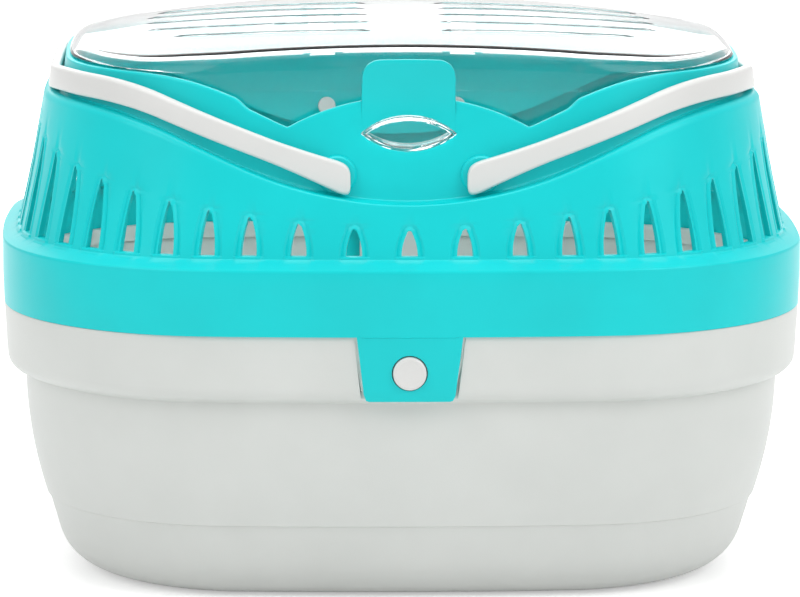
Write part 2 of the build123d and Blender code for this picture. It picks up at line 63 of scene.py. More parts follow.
# Point and outward normal of a rounded outline. turn runs 0 to 12 once round: in each quarter
# 0 to 1 is the front or rear arc, 1 to 2 the corner and 2 to 3 the end arc.
def ringPoint(turn, a, b, r):
    turn = np.mod(turn, 12.0)
    quarter = np.floor(turn / 3).astype(int)
    local = turn - 3 * quarter
    local = np.where(quarter % 2 == 1, 3 - local, local)
    signX = np.where(quarter < 2, 1.0, -1.0)
    signY = np.where((quarter == 0) | (quarter == 3), 1.0, -1.0)
    cx, cy, front, side = cornerOf(a, b, r)
    phi = np.where(local < 1, local * front, np.where(
        local < 2, front + (local - 1) * (math.pi / 2 - front - side),
        math.pi / 2 - side + (local - 2) * side))
    nx, ny = np.sin(phi), -np.cos(phi)
    x = np.where(local < 1, plan["frontBow"] * nx, np.where(
        local < 2, cx + r * nx, a - plan["sideBow"] + plan["sideBow"] * nx))
    y = np.where(local < 1, plan["frontBow"] - b + plan["frontBow"] * ny, np.where(
        local < 2, cy + r * ny, plan["sideBow"] * ny))
    return x * signX, y * signY, nx * signX, ny * signY


# The carrier's outline drawn in by an inset, as half sizes and corner radius
def insetSizes(inset):
    return plan["halfX"] - inset, plan["halfY"] - inset, plan["corner"] - plan["shrink"] * inset


def insetPoint(turn, inset):
    return ringPoint(turn, *insetSizes(inset))


def insetXY(turn, inset):
    return insetPoint(turn, inset)[:2]


# Lengths of the front, corner and end arcs of a quarter: radius times angle
def quarterLengths(a, b, r):
    _, _, front, side = cornerOf(a, b, r)
    return plan["frontBow"] * front, r * (math.pi / 2 - front - side), plan["sideBow"] * side


# The turn at a distance along the outline from the front middle
def turnAt(s, a, b, r):
    lengths = np.array(quarterLengths(a, b, r))
    whole = lengths.sum()
    quarter = np.floor(s / whole)
    local = s - quarter * whole
    local = np.where(quarter % 2 == 1, whole - local, local)
    t = np.interp(local, [0, lengths[0], lengths[0] + lengths[1], whole], [0, 1, 2, 3])
    return 3 * quarter + np.where(quarter % 2 == 1, 3 - t, t)


# Turns of points spaced evenly round the outline at an inset
def evenTurns(inset, count):
    sizes = insetSizes(inset)
    return turnAt(np.arange(count) / count * 4 * sum(quarterLengths(*sizes)), *sizes)


# Drop of an arc below its top at a distance from it
def arcDrop(radius, reach):
    return radius - np.sqrt(radius**2 - reach**2)


# How far a long side has curved back at a distance from its middle
def bowBack(x):
    return arcDrop(plan["frontBow"], x)


def slopeOf(degrees):
    return math.tan(math.radians(degrees))


# Smooth step from 0 at low to 1 at high
def ease(value, low, high):
    t = np.clip((value - low) / (high - low), 0, 1)
    return t * t * (3 - 2 * t)


# Meshes

# Quads of a grid of points numbered row by row, joined round where asked
def gridFaces(rows, cols, closeRows=False, closeCols=False):
    r = np.arange(rows if closeRows else rows - 1)[:, None]
    c = np.arange(cols if closeCols else cols - 1)[None, :]
    r2, c2 = (r + 1) % rows, (c + 1) % cols
    return np.stack([r * cols + c, r * cols + c2, r2 * cols + c2, r2 * cols + c], -1)


# Turns a closed shell outwards: the sum of its fans' triple products is six times its volume
def outward(points, faces):
    volume = 0.0
    for f in faces:
        p = points[f]
        for i in range(1, f.shape[1] - 1):
            volume += np.sum(p[:, 0] * np.cross(p[:, i], p[:, i + 1]))
    return points, [f[:, ::-1] for f in faces] if volume < 0 else faces


# Closed shell through rings of equal count, flat at both ends
def ringsShell(rings):
    rows, cols = rings.shape[:2]
    quads = gridFaces(rows, cols, closeCols=True).reshape(-1, 4)
    ring = np.arange(cols)
    return outward(rings.reshape(-1, 3), [quads, ring[None, ::-1], ring[None, :] + (rows - 1) * cols])


# Rings about an axis along Y: a profile of (radius, y) turned about the point (x, z)
def roundShell(x, z, profile, steps=48):
    turn = np.linspace(0, 2 * math.pi, steps, endpoint=False)
    radius, along = np.array(profile, float).T[..., None]
    return ringsShell(np.stack([x + radius * np.cos(turn), along + 0 * turn, z + radius * np.sin(turn)], -1))


# Points on a circle, all round or from one angle to another
def circle(x, y, radius, first=0, last=360, steps=28):
    turn = np.radians(np.linspace(first, last, steps, endpoint=last - first < 360))
    return np.stack([x + radius * np.cos(turn), y + radius * np.sin(turn)], -1)


# An outline grown along its corner normals: each point moves by the amount off both its sides
def grown(outline, amount):
    ahead, behind = np.roll(outline, -1, 0) - outline, outline - np.roll(outline, 1, 0)
    out1 = np.stack([ahead[:, 1], -ahead[:, 0]], -1) / np.linalg.norm(ahead, axis=1)[:, None]
    out2 = np.stack([behind[:, 1], -behind[:, 0]], -1) / np.linalg.norm(behind, axis=1)[:, None]
    both = out1 + out2
    return outline + amount * 2 * both / np.sum(both**2, axis=1)[:, None]


# A counter-clockwise outline carried along X (axis 0, outline in YZ) or Y (axis 1, outline in XZ),
# through levels of (growth, place)
def slabShell(outline, levels, axis):
    rings = [np.insert(grown(outline, growth), axis, place, axis=1) for growth, place in levels]
    return ringsShell(np.array(rings))


# Levels of a slab between two places, with its edges eased
def eased(low, high, edge):
    return [(-edge, low), (0, low + edge), (0, high - edge), (-edge, high)]


# Rectangle with rounded corners, counter-clockwise
def roundedBox(x0, y0, x1, y1, radius, steps=5):
    outline = []
    for x, y, start in ((x1, y1, 0), (x0, y1, 90), (x0, y0, 180), (x1, y0, 270)):
        cx, cy = x - radius * np.sign(x - (x0 + x1) / 2), y - radius * np.sign(y - (y0 + y1) / 2)
        outline.append(circle(cx, cy, radius, start, start + 90, steps + 1))
    return np.concatenate(outline)


# Mesh of several shells, each a pair of points and lists of faces
def buildMesh(name, shells):
    points, faces, first = [], [], 0
    for shellPoints, shellFaces in shells:
        points.append(shellPoints)
        faces += [f + first for f in shellFaces if f.size]
        first += len(shellPoints)
    points = np.concatenate(points)
    loops = np.concatenate([f.ravel() for f in faces])
    sizes = np.concatenate([np.full(len(f), f.shape[1]) for f in faces])
    mesh = bpy.data.meshes.new(name)
    mesh.vertices.add(len(points))
    mesh.vertices.foreach_set("co", (points * mm).ravel())
    mesh.loops.add(len(loops))
    mesh.loops.foreach_set("vertex_index", loops.astype(np.int32))
    mesh.polygons.add(len(sizes))
    mesh.polygons.foreach_set("loop_start", np.concatenate([[0], np.cumsum(sizes)[:-1]]).astype(np.int32))
    mesh.update(calc_edges=True)
    mesh.validate()
    return mesh


def makeObject(name, mesh):
    thing = bpy.data.objects.new(name, mesh)
    bpy.context.scene.collection.objects.link(thing)
    return thing


# Cuts shells out of a piece or welds them on, with an exact Boolean that is applied at once
def shapeWith(piece, shells, operation):
    tool = makeObject("shapingTool", buildMesh("shapingTool", shells))
    change = piece.modifiers.new("shape", "BOOLEAN")
    change.operation, change.object, change.solver = operation, tool, "EXACT"
    graph = bpy.context.evaluated_depsgraph_get()
    result = bpy.data.meshes.new_from_object(piece.evaluated_get(graph))
    piece.modifiers.clear()
    piece.data = result
    bpy.data.objects.remove(tool)


# One mesh object from closed shells: welds and cuts first, then its finish and body, and the CAD part it
# replaces is hidden
def makePiece(name, shells, body, material, replaces, sharp=35.0, weld=(), cuts=()):
    piece = makeObject(name, buildMesh(name, shells))
    if weld:
        shapeWith(piece, weld, "UNION")
    for cut in cuts:
        shapeWith(piece, cut, "DIFFERENCE")
    mesh = piece.data
    mesh.name = name
    mesh.materials.clear()
    mesh.materials.append(material)
    mesh.shade_smooth()
    mesh.set_sharp_from_angle(angle=math.radians(sharp))
    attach(piece, body)
    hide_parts(replaces)
    print("made", name, "with", len(mesh.polygons), "faces")
    return piece


# Insets and heights round an edge: centre minus radius times cosine, plus radius times sine
def rounded(inset, height, radius, first, last, steps):
    t = np.radians(np.linspace(first, last, steps + 1))
    return inset - radius * np.cos(t), height + radius * np.sin(t)


# Materials

# Moulded surface: fine grain and slow unevenness, put out as a height and a tone
def grainGroup():
    group = bpy.data.node_groups.new("mouldedSurface", "ShaderNodeTree")
    for label, scale in (("Grain Scale", 2500.0), ("Cloud Scale", 25.0)):
        socket = group.interface.new_socket(label, in_out="INPUT", socket_type="NodeSocketFloat")
        socket.default_value = scale
    for label in ("Height", "Tone"):
        group.interface.new_socket(label, in_out="OUTPUT", socket_type="NodeSocketFloat")
    nodes, links = group.nodes, group.links
    entry, leave = nodes.new("NodeGroupInput"), nodes.new("NodeGroupOutput")
    where = nodes.new("ShaderNodeTexCoord")
    grain, cloud = nodes.new("ShaderNodeTexNoise"), nodes.new("ShaderNodeTexNoise")
    grain.inputs["Detail"].default_value = 3.0
    cloud.inputs["Detail"].default_value = 4.0
    for noise, label in ((grain, "Grain Scale"), (cloud, "Cloud Scale")):
        links.new(where.outputs["Object"], noise.inputs["Vector"])
        links.new(entry.outputs[label], noise.inputs["Scale"])
    links.new(grain.outputs["Fac"], leave.inputs["Height"])
    links.new(cloud.outputs["Fac"], leave.inputs["Tone"])
    return group


moulded = grainGroup()


def newMaterial(name):
    material = bpy.data.materials.new(name)
    material.use_nodes = True
    nodes = material.node_tree.nodes
    return material, nodes, material.node_tree.links, nodes["Principled BSDF"]


# Maps a value from 0 to 1 onto a range
def rangeNode(nodes, low, high):
    node = nodes.new("ShaderNodeMapRange")
    node.inputs["To Min"].default_value = low
    node.inputs["To Max"].default_value = high
    return node


def reliefNode(nodes, strength, distance):
    node = nodes.new("ShaderNodeBump")
    node.inputs["Strength"].default_value = strength
    node.inputs["Distance"].default_value = distance
    return node


# Satin moulded plastic: a slow drift between two tones, a fine grain and uneven gloss
def plastic(name, dark, light, roughness, grain, bump, shine=0.5):
    material, nodes, links, shader = newMaterial(name)
    surface = nodes.new("ShaderNodeGroup")
    surface.node_tree = moulded
    surface.inputs["Grain Scale"].default_value = grain
    tone = nodes.new("ShaderNodeValToRGB")
    for element, colour, place in zip(tone.color_ramp.elements, (dark, light), (0.3, 0.7)):
        element.color = (*colour, 1)
        element.position = place
    gloss = rangeNode(nodes, roughness - 0.04, roughness + 0.04)
    relief = reliefNode(nodes, bump, 0.0001)
    links.new(surface.outputs["Tone"], tone.inputs["Fac"])
    links.new(tone.outputs["Color"], shader.inputs["Base Color"])
    links.new(surface.outputs["Tone"], gloss.inputs["Value"])
    links.new(gloss.outputs["Result"], shader.inputs["Roughness"])
    links.new(surface.outputs["Height"], relief.inputs["Height"])
    links.new(relief.outputs["Normal"], shader.inputs["Normal"])
    shader.inputs["IOR"].default_value = 1.49
    shader.inputs["Specular IOR Level"].default_value = shine
    return material


# Clear glossy plastic with very faint unevenness. Its shadow is partly let through.
def clearPlastic(name, tint, roughness, shadow):
    material, nodes, links, shader = newMaterial(name)
    shader.inputs["Base Color"].default_value = (*tint, 1)
    shader.inputs["Transmission Weight"].default_value = 1.0
    shader.inputs["IOR"].default_value = 1.25
    where, wave = nodes.new("ShaderNodeTexCoord"), nodes.new("ShaderNodeTexNoise")
    wave.inputs["Scale"].default_value = 30.0
    relief = reliefNode(nodes, 0.12, 0.0002)
    gloss = rangeNode(nodes, roughness, roughness + 0.03)
    path, opaque = nodes.new("ShaderNodeLightPath"), rangeNode(nodes, 1.0, shadow)
    links.new(where.outputs["Object"], wave.inputs["Vector"])
    links.new(wave.outputs["Fac"], relief.inputs["Height"])
    links.new(relief.outputs["Normal"], shader.inputs["Normal"])
    links.new(wave.outputs["Fac"], gloss.inputs["Value"])
    links.new(gloss.outputs["Result"], shader.inputs["Roughness"])
    links.new(path.outputs["Is Shadow Ray"], opaque.inputs["Value"])
    links.new(opaque.outputs["Result"], shader.inputs["Alpha"])
    return material


teal = plastic("tealPlastic", (0.0, 0.60, 0.62), (0.0, 0.65, 0.67), 0.36, 2200.0, 0.25, 0.32)
grey = plastic("greyPlastic", (0.64, 0.66, 0.635), (0.68, 0.70, 0.675), 0.42, 1800.0, 0.3)
white = plastic("whitePlastic", (0.70, 0.70, 0.685), (0.73, 0.73, 0.715), 0.38, 2600.0, 0.25)
pale = plastic("pinPlastic", (0.70, 0.71, 0.70), (0.74, 0.75, 0.74), 0.34, 3000.0, 0.2)
clear = clearPlastic("clearPlastic", (0.94, 0.962, 0.964), 0.015, 0.3)
print("made materials")

# Tub

softEdge = 0.3  # the small round on most moulded edges
past = 5.0  # how far a cutting block reaches past what it cuts
hair = 0.01  # allowance where a value is compared with a limit
tub = dict(
    wall=2.0, floor=2.4, footRound=22.0, footDraft=16.0, stepZ=29.5, stepInset=17.3, stepLip=0.35,
    stepRows=(-0.5, -0.12, 0.05, 0.4), bellyEnd=76.7, bandTop=101.8, bellyBow=152.0, bellyInset=9.0,
    shoulderZ=77.5, shoulderRound=6.0, shoulderStart=-86.0, bandInset=1.2, bandDraft=3.0, collarInset=2.7,
    collarWall=2.0, collarTop=108.4, lipFlat=0.7, rootRise=0.2, columns=420,
)
latch = dict(
    low=78.7, halfTop=19.0, halfLow=16.25, tuck=1.2, corner=2.0, stepBack=0.4,
    columns=(14.6, 15.7, 16.55, 19.0), sideGap=1.0, backInset=3.7, windowLow=82.0, windowReach=12.0,
    hole=6.45, holeZ=89.2, holeCut=(103.0, 120.0), button=6.0, buttonRim=0.9,
    buttonRound=((0.45, 0.1), (0.12, 0.35), (0.0, 0.8)), proud=0.4, dish=0.5,
    dishRings=(0.4, 1.6, 2.8, 3.9, 4.7), tongueHalf=12.0,
    tongueThick=2.0, tongueGap=0.4, tongueLow=82.5, tongueTop=113.0, guideX=13.1, guideHalf=0.8,
    guideLow=104.0, guideTop=113.0, guideDeep=5.5,
)


# Inset of the tub's upper band, which leans in downwards
def bandAt(z):
    return tub["bandInset"] + (seatHeight - z) * slopeOf(tub["bandDraft"])


# Insets and heights from the underside to the seat: foot round, foot slope, step, belly arc,
# shoulder round and band. The belly's inset is its top inset plus depth squared over twice the bow.
def tubProfile(wall):
    t = tub
    draft, radius = math.radians(t["footDraft"]), t["footRound"]
    centre = t["stepInset"] + (t["stepZ"] - radius) * math.tan(draft) + radius / math.cos(draft)
    foot, footZ = rounded(centre, radius, radius - wall, -90, -t["footDraft"], 14)
    slopeEnd, lipLow, lipHigh, bellyStart = t["stepZ"] + np.array(t["stepRows"])
    slopeZ = np.linspace(footZ[-1], slopeEnd, 5)[1:]
    slope = t["stepInset"] + wall + (t["stepZ"] - slopeZ) * math.tan(draft)
    bellyZ = np.linspace(bellyStart, t["bellyEnd"] + wall, 14)
    belly = t["bellyInset"] + wall + (t["shoulderZ"] - bellyZ) ** 2 / (2 * t["bellyBow"])
    lipZ = np.array([lipLow, lipHigh])
    lip = np.array([t["stepInset"] + wall, t["stepInset"] + wall - t["stepLip"]])
    centreZ = t["shoulderZ"] + t["shoulderRound"]
    shoulder, shoulderZ = rounded(bandAt(centreZ) + t["shoulderRound"], centreZ, t["shoulderRound"] - wall,
                                  t["shoulderStart"], 0, 8)
    bandZ = np.linspace(centreZ + 1, t["bandTop"], 8)
    band = bandAt(bandZ) + wall
    return (np.concatenate([foot, slope, lip, belly, shoulder, band]),
            np.concatenate([footZ, slopeZ, lipZ, bellyZ, shoulderZ, bandZ]))


# Block cut out behind a latch tab down to a depth: a trapezoid in front view, with its back along the bow
def latchBlock(low, high, depth, side):
    h = latch
    slope = (h["halfTop"] - h["halfLow"]) / (seatHeight - h["low"])
    across = np.linspace(-1, 1, 25)
    rings = []
    for z in (low, high):
        x = across * (h["halfTop"] + h["sideGap"] - slope * (seatHeight - z))
        y = np.concatenate([0 * x - past, bowBack(x[::-1]) + depth]) - plan["halfY"]
        rings.append(np.stack([np.concatenate([x, x[::-1]]), y * side, 0 * y + z], -1))
    return ringsShell(np.array(rings))


# The tub is its profile carried round the outline, outside and inside in one closed skin
def makeTub():
    t, h = tub, latch
    outI, outZ = tubProfile(0.0)
    inI, inZ = tubProfile(t["wall"])
    band, collar, top = bandAt(seatHeight), t["collarInset"], t["collarTop"]
    lipI = [band + softEdge / 2, band + t["lipFlat"], collar - t["rootRise"] / 2, collar]
    lipZ = seatHeight + np.array([-softEdge / 2, 0, 0, t["rootRise"]])
    collarI = collar + np.array([0, softEdge, t["collarWall"] - softEdge, t["collarWall"], t["collarWall"]])
    collarZ = [top - softEdge, top, top, top - softEdge, seatHeight]
    inset = np.concatenate([outI, lipI, collarI, inI[::-1]])
    z = np.concatenate([outZ, lipZ, collarZ, np.maximum(inZ, t["floor"])[::-1]])
    x, y = insetXY(evenTurns(0.0, t["columns"]), inset[:, None])
    rings = np.stack([x, y, z[:, None] + 0 * x], -1)
    cuts = []
    for side in (1, -1):
        cuts.append([latchBlock(h["low"] - h["sideGap"], seatHeight, h["backInset"], side)])
        cuts.append([latchBlock(h["windowLow"], top + past, h["windowReach"], side)])
    return makePiece("tubShell", [ringsShell(rings)], "tub", grey, "base_tub", cuts=cuts)


makeTub()

# Cover

cover = dict(
    wall=2.2, lowerInset=7.0, lowerFoot=129.2, lowerDraft=10.2, rim=192.6, rimInset=25.0, upperDraft=7.3,
    skirtTop=125.2, shelf=((0.1, 125.9), (0.4, 126.35), (1.0, 126.6), (3.3, 127.6), (5.6, 128.6)),
    shelfEnd=6.5, shelfEndZ=129.0, innerTop=123.6, innerWallZ=(128.0, 126.3),
    innerShelf=((1.3, 125.0), (0.3, 124.5)), endFrom=60.0, endTo=120.0, endSkirt=0.85, endSeat=0.35,
    endSeatZ=112.0, endWall=(0.0, 0.45, 0.95), endWallZ=(129.6, 138.7, 153.0), ledgeLow=148.4,
    ledgeHollow=150.0, ledgeSlope=24.0, ledgeRun=25.0, ledgeCrest=106.0, dipLow=178.9, dipBow=320.0,
    dipStart=100.0, edgeRound=0.9, edgeGain=2.3, edgeFrom=150.0, edgeRun=30.0, rootRound=1.0,
    humpTop=185.7, humpBow=90.0, valleyHalf=43.5, valleySoft=0.6, scoopBow=125.0, scoopSlope=24.6,
    stepRise=1.8, stepStart=57.0, stepEnd=62.5, stepFade=75.0, stepGone=112.0, rimSoft=0.5,
    rimBevel=0.15, rimRing=24.0, holdFrom=45.0, holdTo=58.0, sharp=27.0,
)
slots = dict(
    base=130.4, half=2.9, tip=1.0, swell=2.0, low=139.4, rise=0.25, blend=85.0, highest=171.0,
    frontPitch=19.9, frontCount=2, step=17.8, pitch=15.0, valley=0.75, groove=0.6, grooveHalf=1.6,
    reach=4.7, reachGain=0.09, sill=0.6, sillHalf=5.5, sillFoot=0.8, sillZ=(129.35, 130.1), thinnest=0.22,
    openRise=0.25, openShare=0.6,
)
thumbTab = dict(
    half=16.65, foot=179.1, top=199.3, bend=186.0, bendSoft=2.0, lean=9.0, corner=6.0, arch=0.0016,
    columns=(10.65, 12.5, 14.2, 15.4, 16.2, 16.65, 16.9),
)
hinge = dict(
    half=28.0, y=90.7, z=194.5, lugHalf=5.0, lugRadius=2.8, lugWidth=9.4, notch=4.4,
    columns=(22.7, 23.0, 33.0, 33.3), ear=3.0, earRadius=3.0, foot=12.0, pin=1.3, pinGap=0.06,
    pinEase=0.02, pinEdge=0.25,
)
lens = dict(
    z=172.6, half=16.95, tall=6.2, gap=0.35, wall=1.3, proud=2.7, recess=1.6, flange=1.6, lip=2.0,
    seatGap=0.6, cut=(-120.0, -70.0),
)
pivot = dict(
    x=25.7, z=157.85, boss=7.0, bossRound=0.6, bossRoot=-92.5, bossGap=0.25, stub=2.6, stubGap=0.06,
    stubCut=(85.0, 100.0), head=3.4, headThick=1.8, headEdge=0.4, headGap=0.4,
)
bail = dict(
    halfX=129.2, halfY=98.6, corner=73.0, thick=4.1, tall=8.4, edge=1.4, lean=0.13, leanFrom=45.0,
    leanTo=100.0, flare=25.0, flarePower=1.6, end=5.7, tip=4.7, tipPower=3.5, slope=21.0, turn=88.0,
    level=75.0, dip=3.5, dipReach=56.0, sections=150, tipSections=9,
)


# Inset of the vented wall below the ledge
def lowerAt(z):
    return cover["lowerInset"] + (z - cover["lowerFoot"]) * slopeOf(cover["lowerDraft"])


# Inset of the wall above the ledge
def upperAt(z):
    return cover["rimInset"] - (cover["rim"] - z) * slopeOf(cover["upperDraft"])


# Height of the ledge: a hollow arc, a straight slope, a crest arc and a level run along X,
# and a shallow dip along Y on the two ends
def ledgeAt(x, y):
    c = cover
    turn = math.radians(c["ledgeSlope"])
    x1 = c["ledgeHollow"] * math.sin(turn)
    z1 = c["ledgeLow"] + c["ledgeHollow"] * (1 - math.cos(turn))
    x2 = x1 + c["ledgeRun"] * math.cos(turn)
    z2 = z1 + c["ledgeRun"] * math.sin(turn)
    x3 = x2 + c["ledgeCrest"] * math.sin(turn)
    z3 = z2 + c["ledgeCrest"] * (1 - math.cos(turn))
    ax = np.abs(x)
    hollow = c["ledgeLow"] + arcDrop(c["ledgeHollow"], np.minimum(ax, x1))
    slope = z1 + (ax - x1) * math.tan(turn)
    crest = z3 - arcDrop(c["ledgeCrest"], np.clip(x3 - ax, 0, x3 - x2))
    height = np.where(ax < x1, hollow, np.where(ax < x2, slope, crest))
    dip = c["dipLow"] + arcDrop(c["dipBow"], np.minimum(np.abs(y), c["dipBow"] - 1))
    return np.where(ax > c["dipStart"], np.minimum(height, dip), height)


# The larger of two values, blended over a reach
def softMax(a, b, reach):
    h = np.clip(0.5 + 0.5 * (a - b) / reach, 0, 1)
    return b + (a - b) * h + reach * h * (1 - h)


# Height of the rim: level behind and at the ends; in front a hump between two valleys, then a slope,
# a small step and an arc up to the level. The thumb tab stands on the hump, and the rear has two notches.
def rimAt(x, y):
    c = cover
    slope = math.radians(c["scoopSlope"])
    valley = c["humpTop"] - arcDrop(c["humpBow"], c["valleyHalf"])
    z1 = c["rim"] - c["scoopBow"] * (1 - math.cos(slope))
    x1 = c["valleyHalf"] + (z1 - valley) / math.tan(slope)
    x2 = x1 + c["scoopBow"] * math.sin(slope)
    ax = np.abs(x)
    hump = c["humpTop"] - arcDrop(c["humpBow"], np.minimum(ax, c["humpBow"] - 1))
    line = valley + (ax - c["valleyHalf"]) * math.tan(slope)
    arc = c["rim"] - arcDrop(c["scoopBow"], np.clip(x2 - ax, 0, x2 - x1))
    rise = c["stepRise"] * ease(ax, c["stepStart"], c["stepEnd"])
    step = rise * (1 - ease(ax, c["stepFade"], c["stepGone"]))
    front = np.where(ax < x1, softMax(hump, line, c["valleySoft"]), arc) + step
    t = thumbTab
    corner = np.clip(ax - (t["half"] - t["corner"]), 0, t["corner"])
    tab = t["top"] - t["arch"] * ax**2 - arcDrop(t["corner"], corner)
    front = np.where(ax <= t["half"] + hair, tab, np.minimum(front, c["rim"]))
    notched = np.abs(ax - hinge["half"]) <= hinge["lugHalf"] + hair
    rear = np.where(notched, c["rim"] - hinge["notch"], c["rim"])
    return np.where(y < 0, front, rear)


# Height of the cover's lower edge: the parting line, with a tapering latch tab front and rear
def skirtFootAt(x):
    ax = np.abs(x)
    h = latch
    cornerX = h["halfLow"] + softEdge
    side = h["low"] + (ax - h["halfLow"]) * (seatHeight - h["low"]) / (h["halfTop"] - h["halfLow"])
    foot = h["low"] + arcDrop(h["corner"], np.clip(ax - (cornerX - h["corner"]), 0, h["corner"]))
    return np.where(ax > h["halfTop"] - hair, seatHeight, np.where(ax > cornerX, side, foot))


slotRing = insetSizes(cover["lowerInset"])
quarterLength = sum(quarterLengths(*slotRing))
wholeLength = 4 * quarterLength


# Distances of all slots round the wall from the front middle
def slotPlaces():
    q = slots
    wide = [q["frontPitch"] * (i + 1) for i in range(q["frontCount"])]
    start = wide[-1] + q["step"]
    count = round((quarterLength - start) / q["pitch"] - 0.5)
    pitch = (quarterLength - start) / (count + 0.5)
    quarter = np.array(wide + [start + pitch * i for i in range(count + 1)])
    half = np.concatenate([quarter, 2 * quarterLength - quarter[::-1]])
    return np.concatenate([[0.0], half, [2 * quarterLength], 2 * quarterLength + half])


slotCentres = slotPlaces()


# Height of a slot's tip at a distance along the wall, counted from the nearer middle of a long side
def slotTop(s):
    half = np.mod(s, 2 * quarterLength)
    near = np.minimum(half, 2 * quarterLength - half)
    top = slots["low"] + slots["rise"] * (np.hypot(near, slots["blend"]) - slots["blend"])
    return np.minimum(top, slots["highest"])


inside = np.array([-1.0, 0.0, 1.0])  # columns across a slot, in half widths
lipSteps = np.array([0.6, 1.5, 2.6])  # columns beside a slot: end of its lip, valley, end of the valley
spread = np.array([0.5])  # columns between slots, as shares of the way to the border
perSlot = 1 + len(inside) + 2 * (len(lipSteps) + len(spread))
firstInside = 1 + len(lipSteps) + len(spread)


# Half offsets of the columns beside a slot. They pass its tip as circles about the tip's centre.
def besideAt(inner, over):
    straight = inner + lipSteps[:, None]
    ring = np.sqrt(np.maximum((slots["tip"] + lipSteps[:, None]) ** 2 - over**2, 0))
    least = inner + 0.5 * np.arange(1, len(lipSteps) + 1)[:, None]
    return np.where(over > 0, np.maximum(ring, least), straight)


# Distances along the wall of every column of a row: the border, the columns up to the valley, the slot
# and the same on its other side
def slotColumns(inner, beside):
    centre = slotCentres
    before, after = np.roll(centre, 1), np.roll(centre, -1)
    before[0] -= wholeLength
    after[-1] += wholeLength
    low, high = (before + centre) / 2, (after + centre) / 2
    leftEdge, rightEdge = centre - beside[-1], centre + beside[-1]
    left = leftEdge[:, None] + (low - leftEdge)[:, None] * spread[::-1]
    right = rightEdge[:, None] + (high - rightEdge)[:, None] * spread
    middle = centre[:, None] + inner[:, None] * inside
    leftSteps, rightSteps = centre[:, None] - beside[::-1].T, centre[:, None] + beside.T
    return np.concatenate([low[:, None], left, leftSteps, middle, rightSteps, right], -1).ravel()


# Half width of a slot at a height over its base: it narrows by a power of the height, then ends in a round
def slotHalf(rise, tall):
    q = slots
    share = np.clip(rise / (tall - q["tip"]), 0, 1)
    side = q["tip"] + (q["half"] - q["tip"]) * (1 - share ** q["swell"])
    over = np.clip((rise - (tall - q["tip"])) / q["tip"], 0, 1)
    return np.where(over > 0, q["tip"] * np.sqrt(1 - over**2), side)


# Depth round a slot: none on its lip, a valley beside the lip, and a soft groove above the tip
def slotDent(away, z, top):
    q = slots
    over = z - (top - q["tip"])
    beside = np.abs(away) - slotHalf(z - q["base"], top - q["base"])
    edge = np.where(over < 0, beside, np.hypot(away, over) - q["tip"])
    valley = np.interp(edge, lipSteps, [0, q["valley"], 0])
    reach = q["reach"] + q["reachGain"] * (top - q["low"])
    fade = np.clip(1 - (z - top - lipSteps[1]) / reach, 0, 1) * ease(z - top, lipSteps[0], lipSteps[1])
    return np.maximum(valley, q["groove"] * np.clip(1 - (away / q["grooveHalf"]) ** 2, 0, 1) * fade)


# Turns of columns whose distances along the wall are given
def wallTurn(s):
    return turnAt(np.mod(s, wholeLength), *slotRing)


# Moves columns onto exact distances from the middle of a long side, in their order outwards.
# The middle is turn 0 in front and turn 6 at the rear.
def snapTurn(turn, inset, places, middle):
    snapped = turn.copy()
    front = cornerOf(*insetSizes(inset))[2]
    for side in (-1, 1):
        offset = side * (np.mod(turn - middle + 6.0, 12.0) - 6.0)
        last = 0.0
        for place in places:
            goal = math.asin(place / plan["frontBow"]) / front
            nearest = np.argmin(np.where(offset > last, np.abs(offset - goal), np.inf))
            last = offset[nearest]
            snapped[nearest] = (middle + side * goal) % 12.0
    return snapped


# Lens outline: two arcs over a half width w and a half height t, of radius (w^2 + t^2) / 2t
def lensOutline(grow, steps=40):
    w, t = lens["half"] + grow, lens["tall"] + grow
    radius = (w * w + t * t) / (2 * t)
    turn = np.linspace(1, -1, steps, endpoint=False) * math.asin(w / radius)
    x, z = radius * np.sin(turn), radius * np.cos(turn) - radius + t
    return np.concatenate([np.stack([x, lens["z"] + z], -1), np.stack([-x, lens["z"] - z], -1)])


def lensCutter():
    return slabShell(lensOutline(lens["gap"]), [(0, place) for place in lens["cut"]], 1)


# Side outline of a hinge ear: its foot in the wall, and a round of the ear's radius about the axis
def earOutline():
    h, c = hinge, cover
    back = plan["halfY"] - upperAt(c["rim"] - h["foot"])
    arc = circle(h["y"], h["z"], h["earRadius"], -20, 200, 23)
    foot = [[back - c["wall"] / 2, c["rim"] - h["foot"]], [back - softEdge, c["rim"] - h["foot"]]]
    inner = [[plan["halfY"] - c["rimInset"] - c["wall"] / 2, c["rim"] - c["wall"]]]
    return np.concatenate([foot, arc, inner])


# Bosses, hinge ears and guide ribs, which are welded onto the cover
def coverAdditions():
    p, h, t = pivot, hinge, latch
    start = -bail["halfY"] + float(bowBack(p["x"])) + bail["thick"] / 2 + p["bossGap"]
    boss = [(p["boss"] - p["bossRound"], start), (p["boss"], start + p["bossRound"]),
            (p["boss"], p["bossRoot"] - 0.1), (p["boss"] - 1, p["bossRoot"])]
    wallY = plan["halfY"] - cover["wall"] / 2
    added = []
    for sx in (-1, 1):
        left, right = sx * t["guideX"] - t["guideHalf"], sx * t["guideX"] + t["guideHalf"]
        guide = roundedBox(left, t["guideLow"], right, t["guideTop"], softEdge, 2)
        for sy in (-1, 1):
            added.append(roundShell(sx * p["x"], p["z"], [(r, y * -sy) for r, y in boss]))
            added.append(slabShell(guide, [(0, sy * wallY), (0, sy * (wallY - t["guideDeep"]))], 1))
        for inner in (-h["lugHalf"] - h["ear"], h["lugHalf"]):
            low = sx * h["half"] + inner
            added.append(slabShell(earOutline(), eased(low, low + h["ear"], softEdge), 0))
    return added


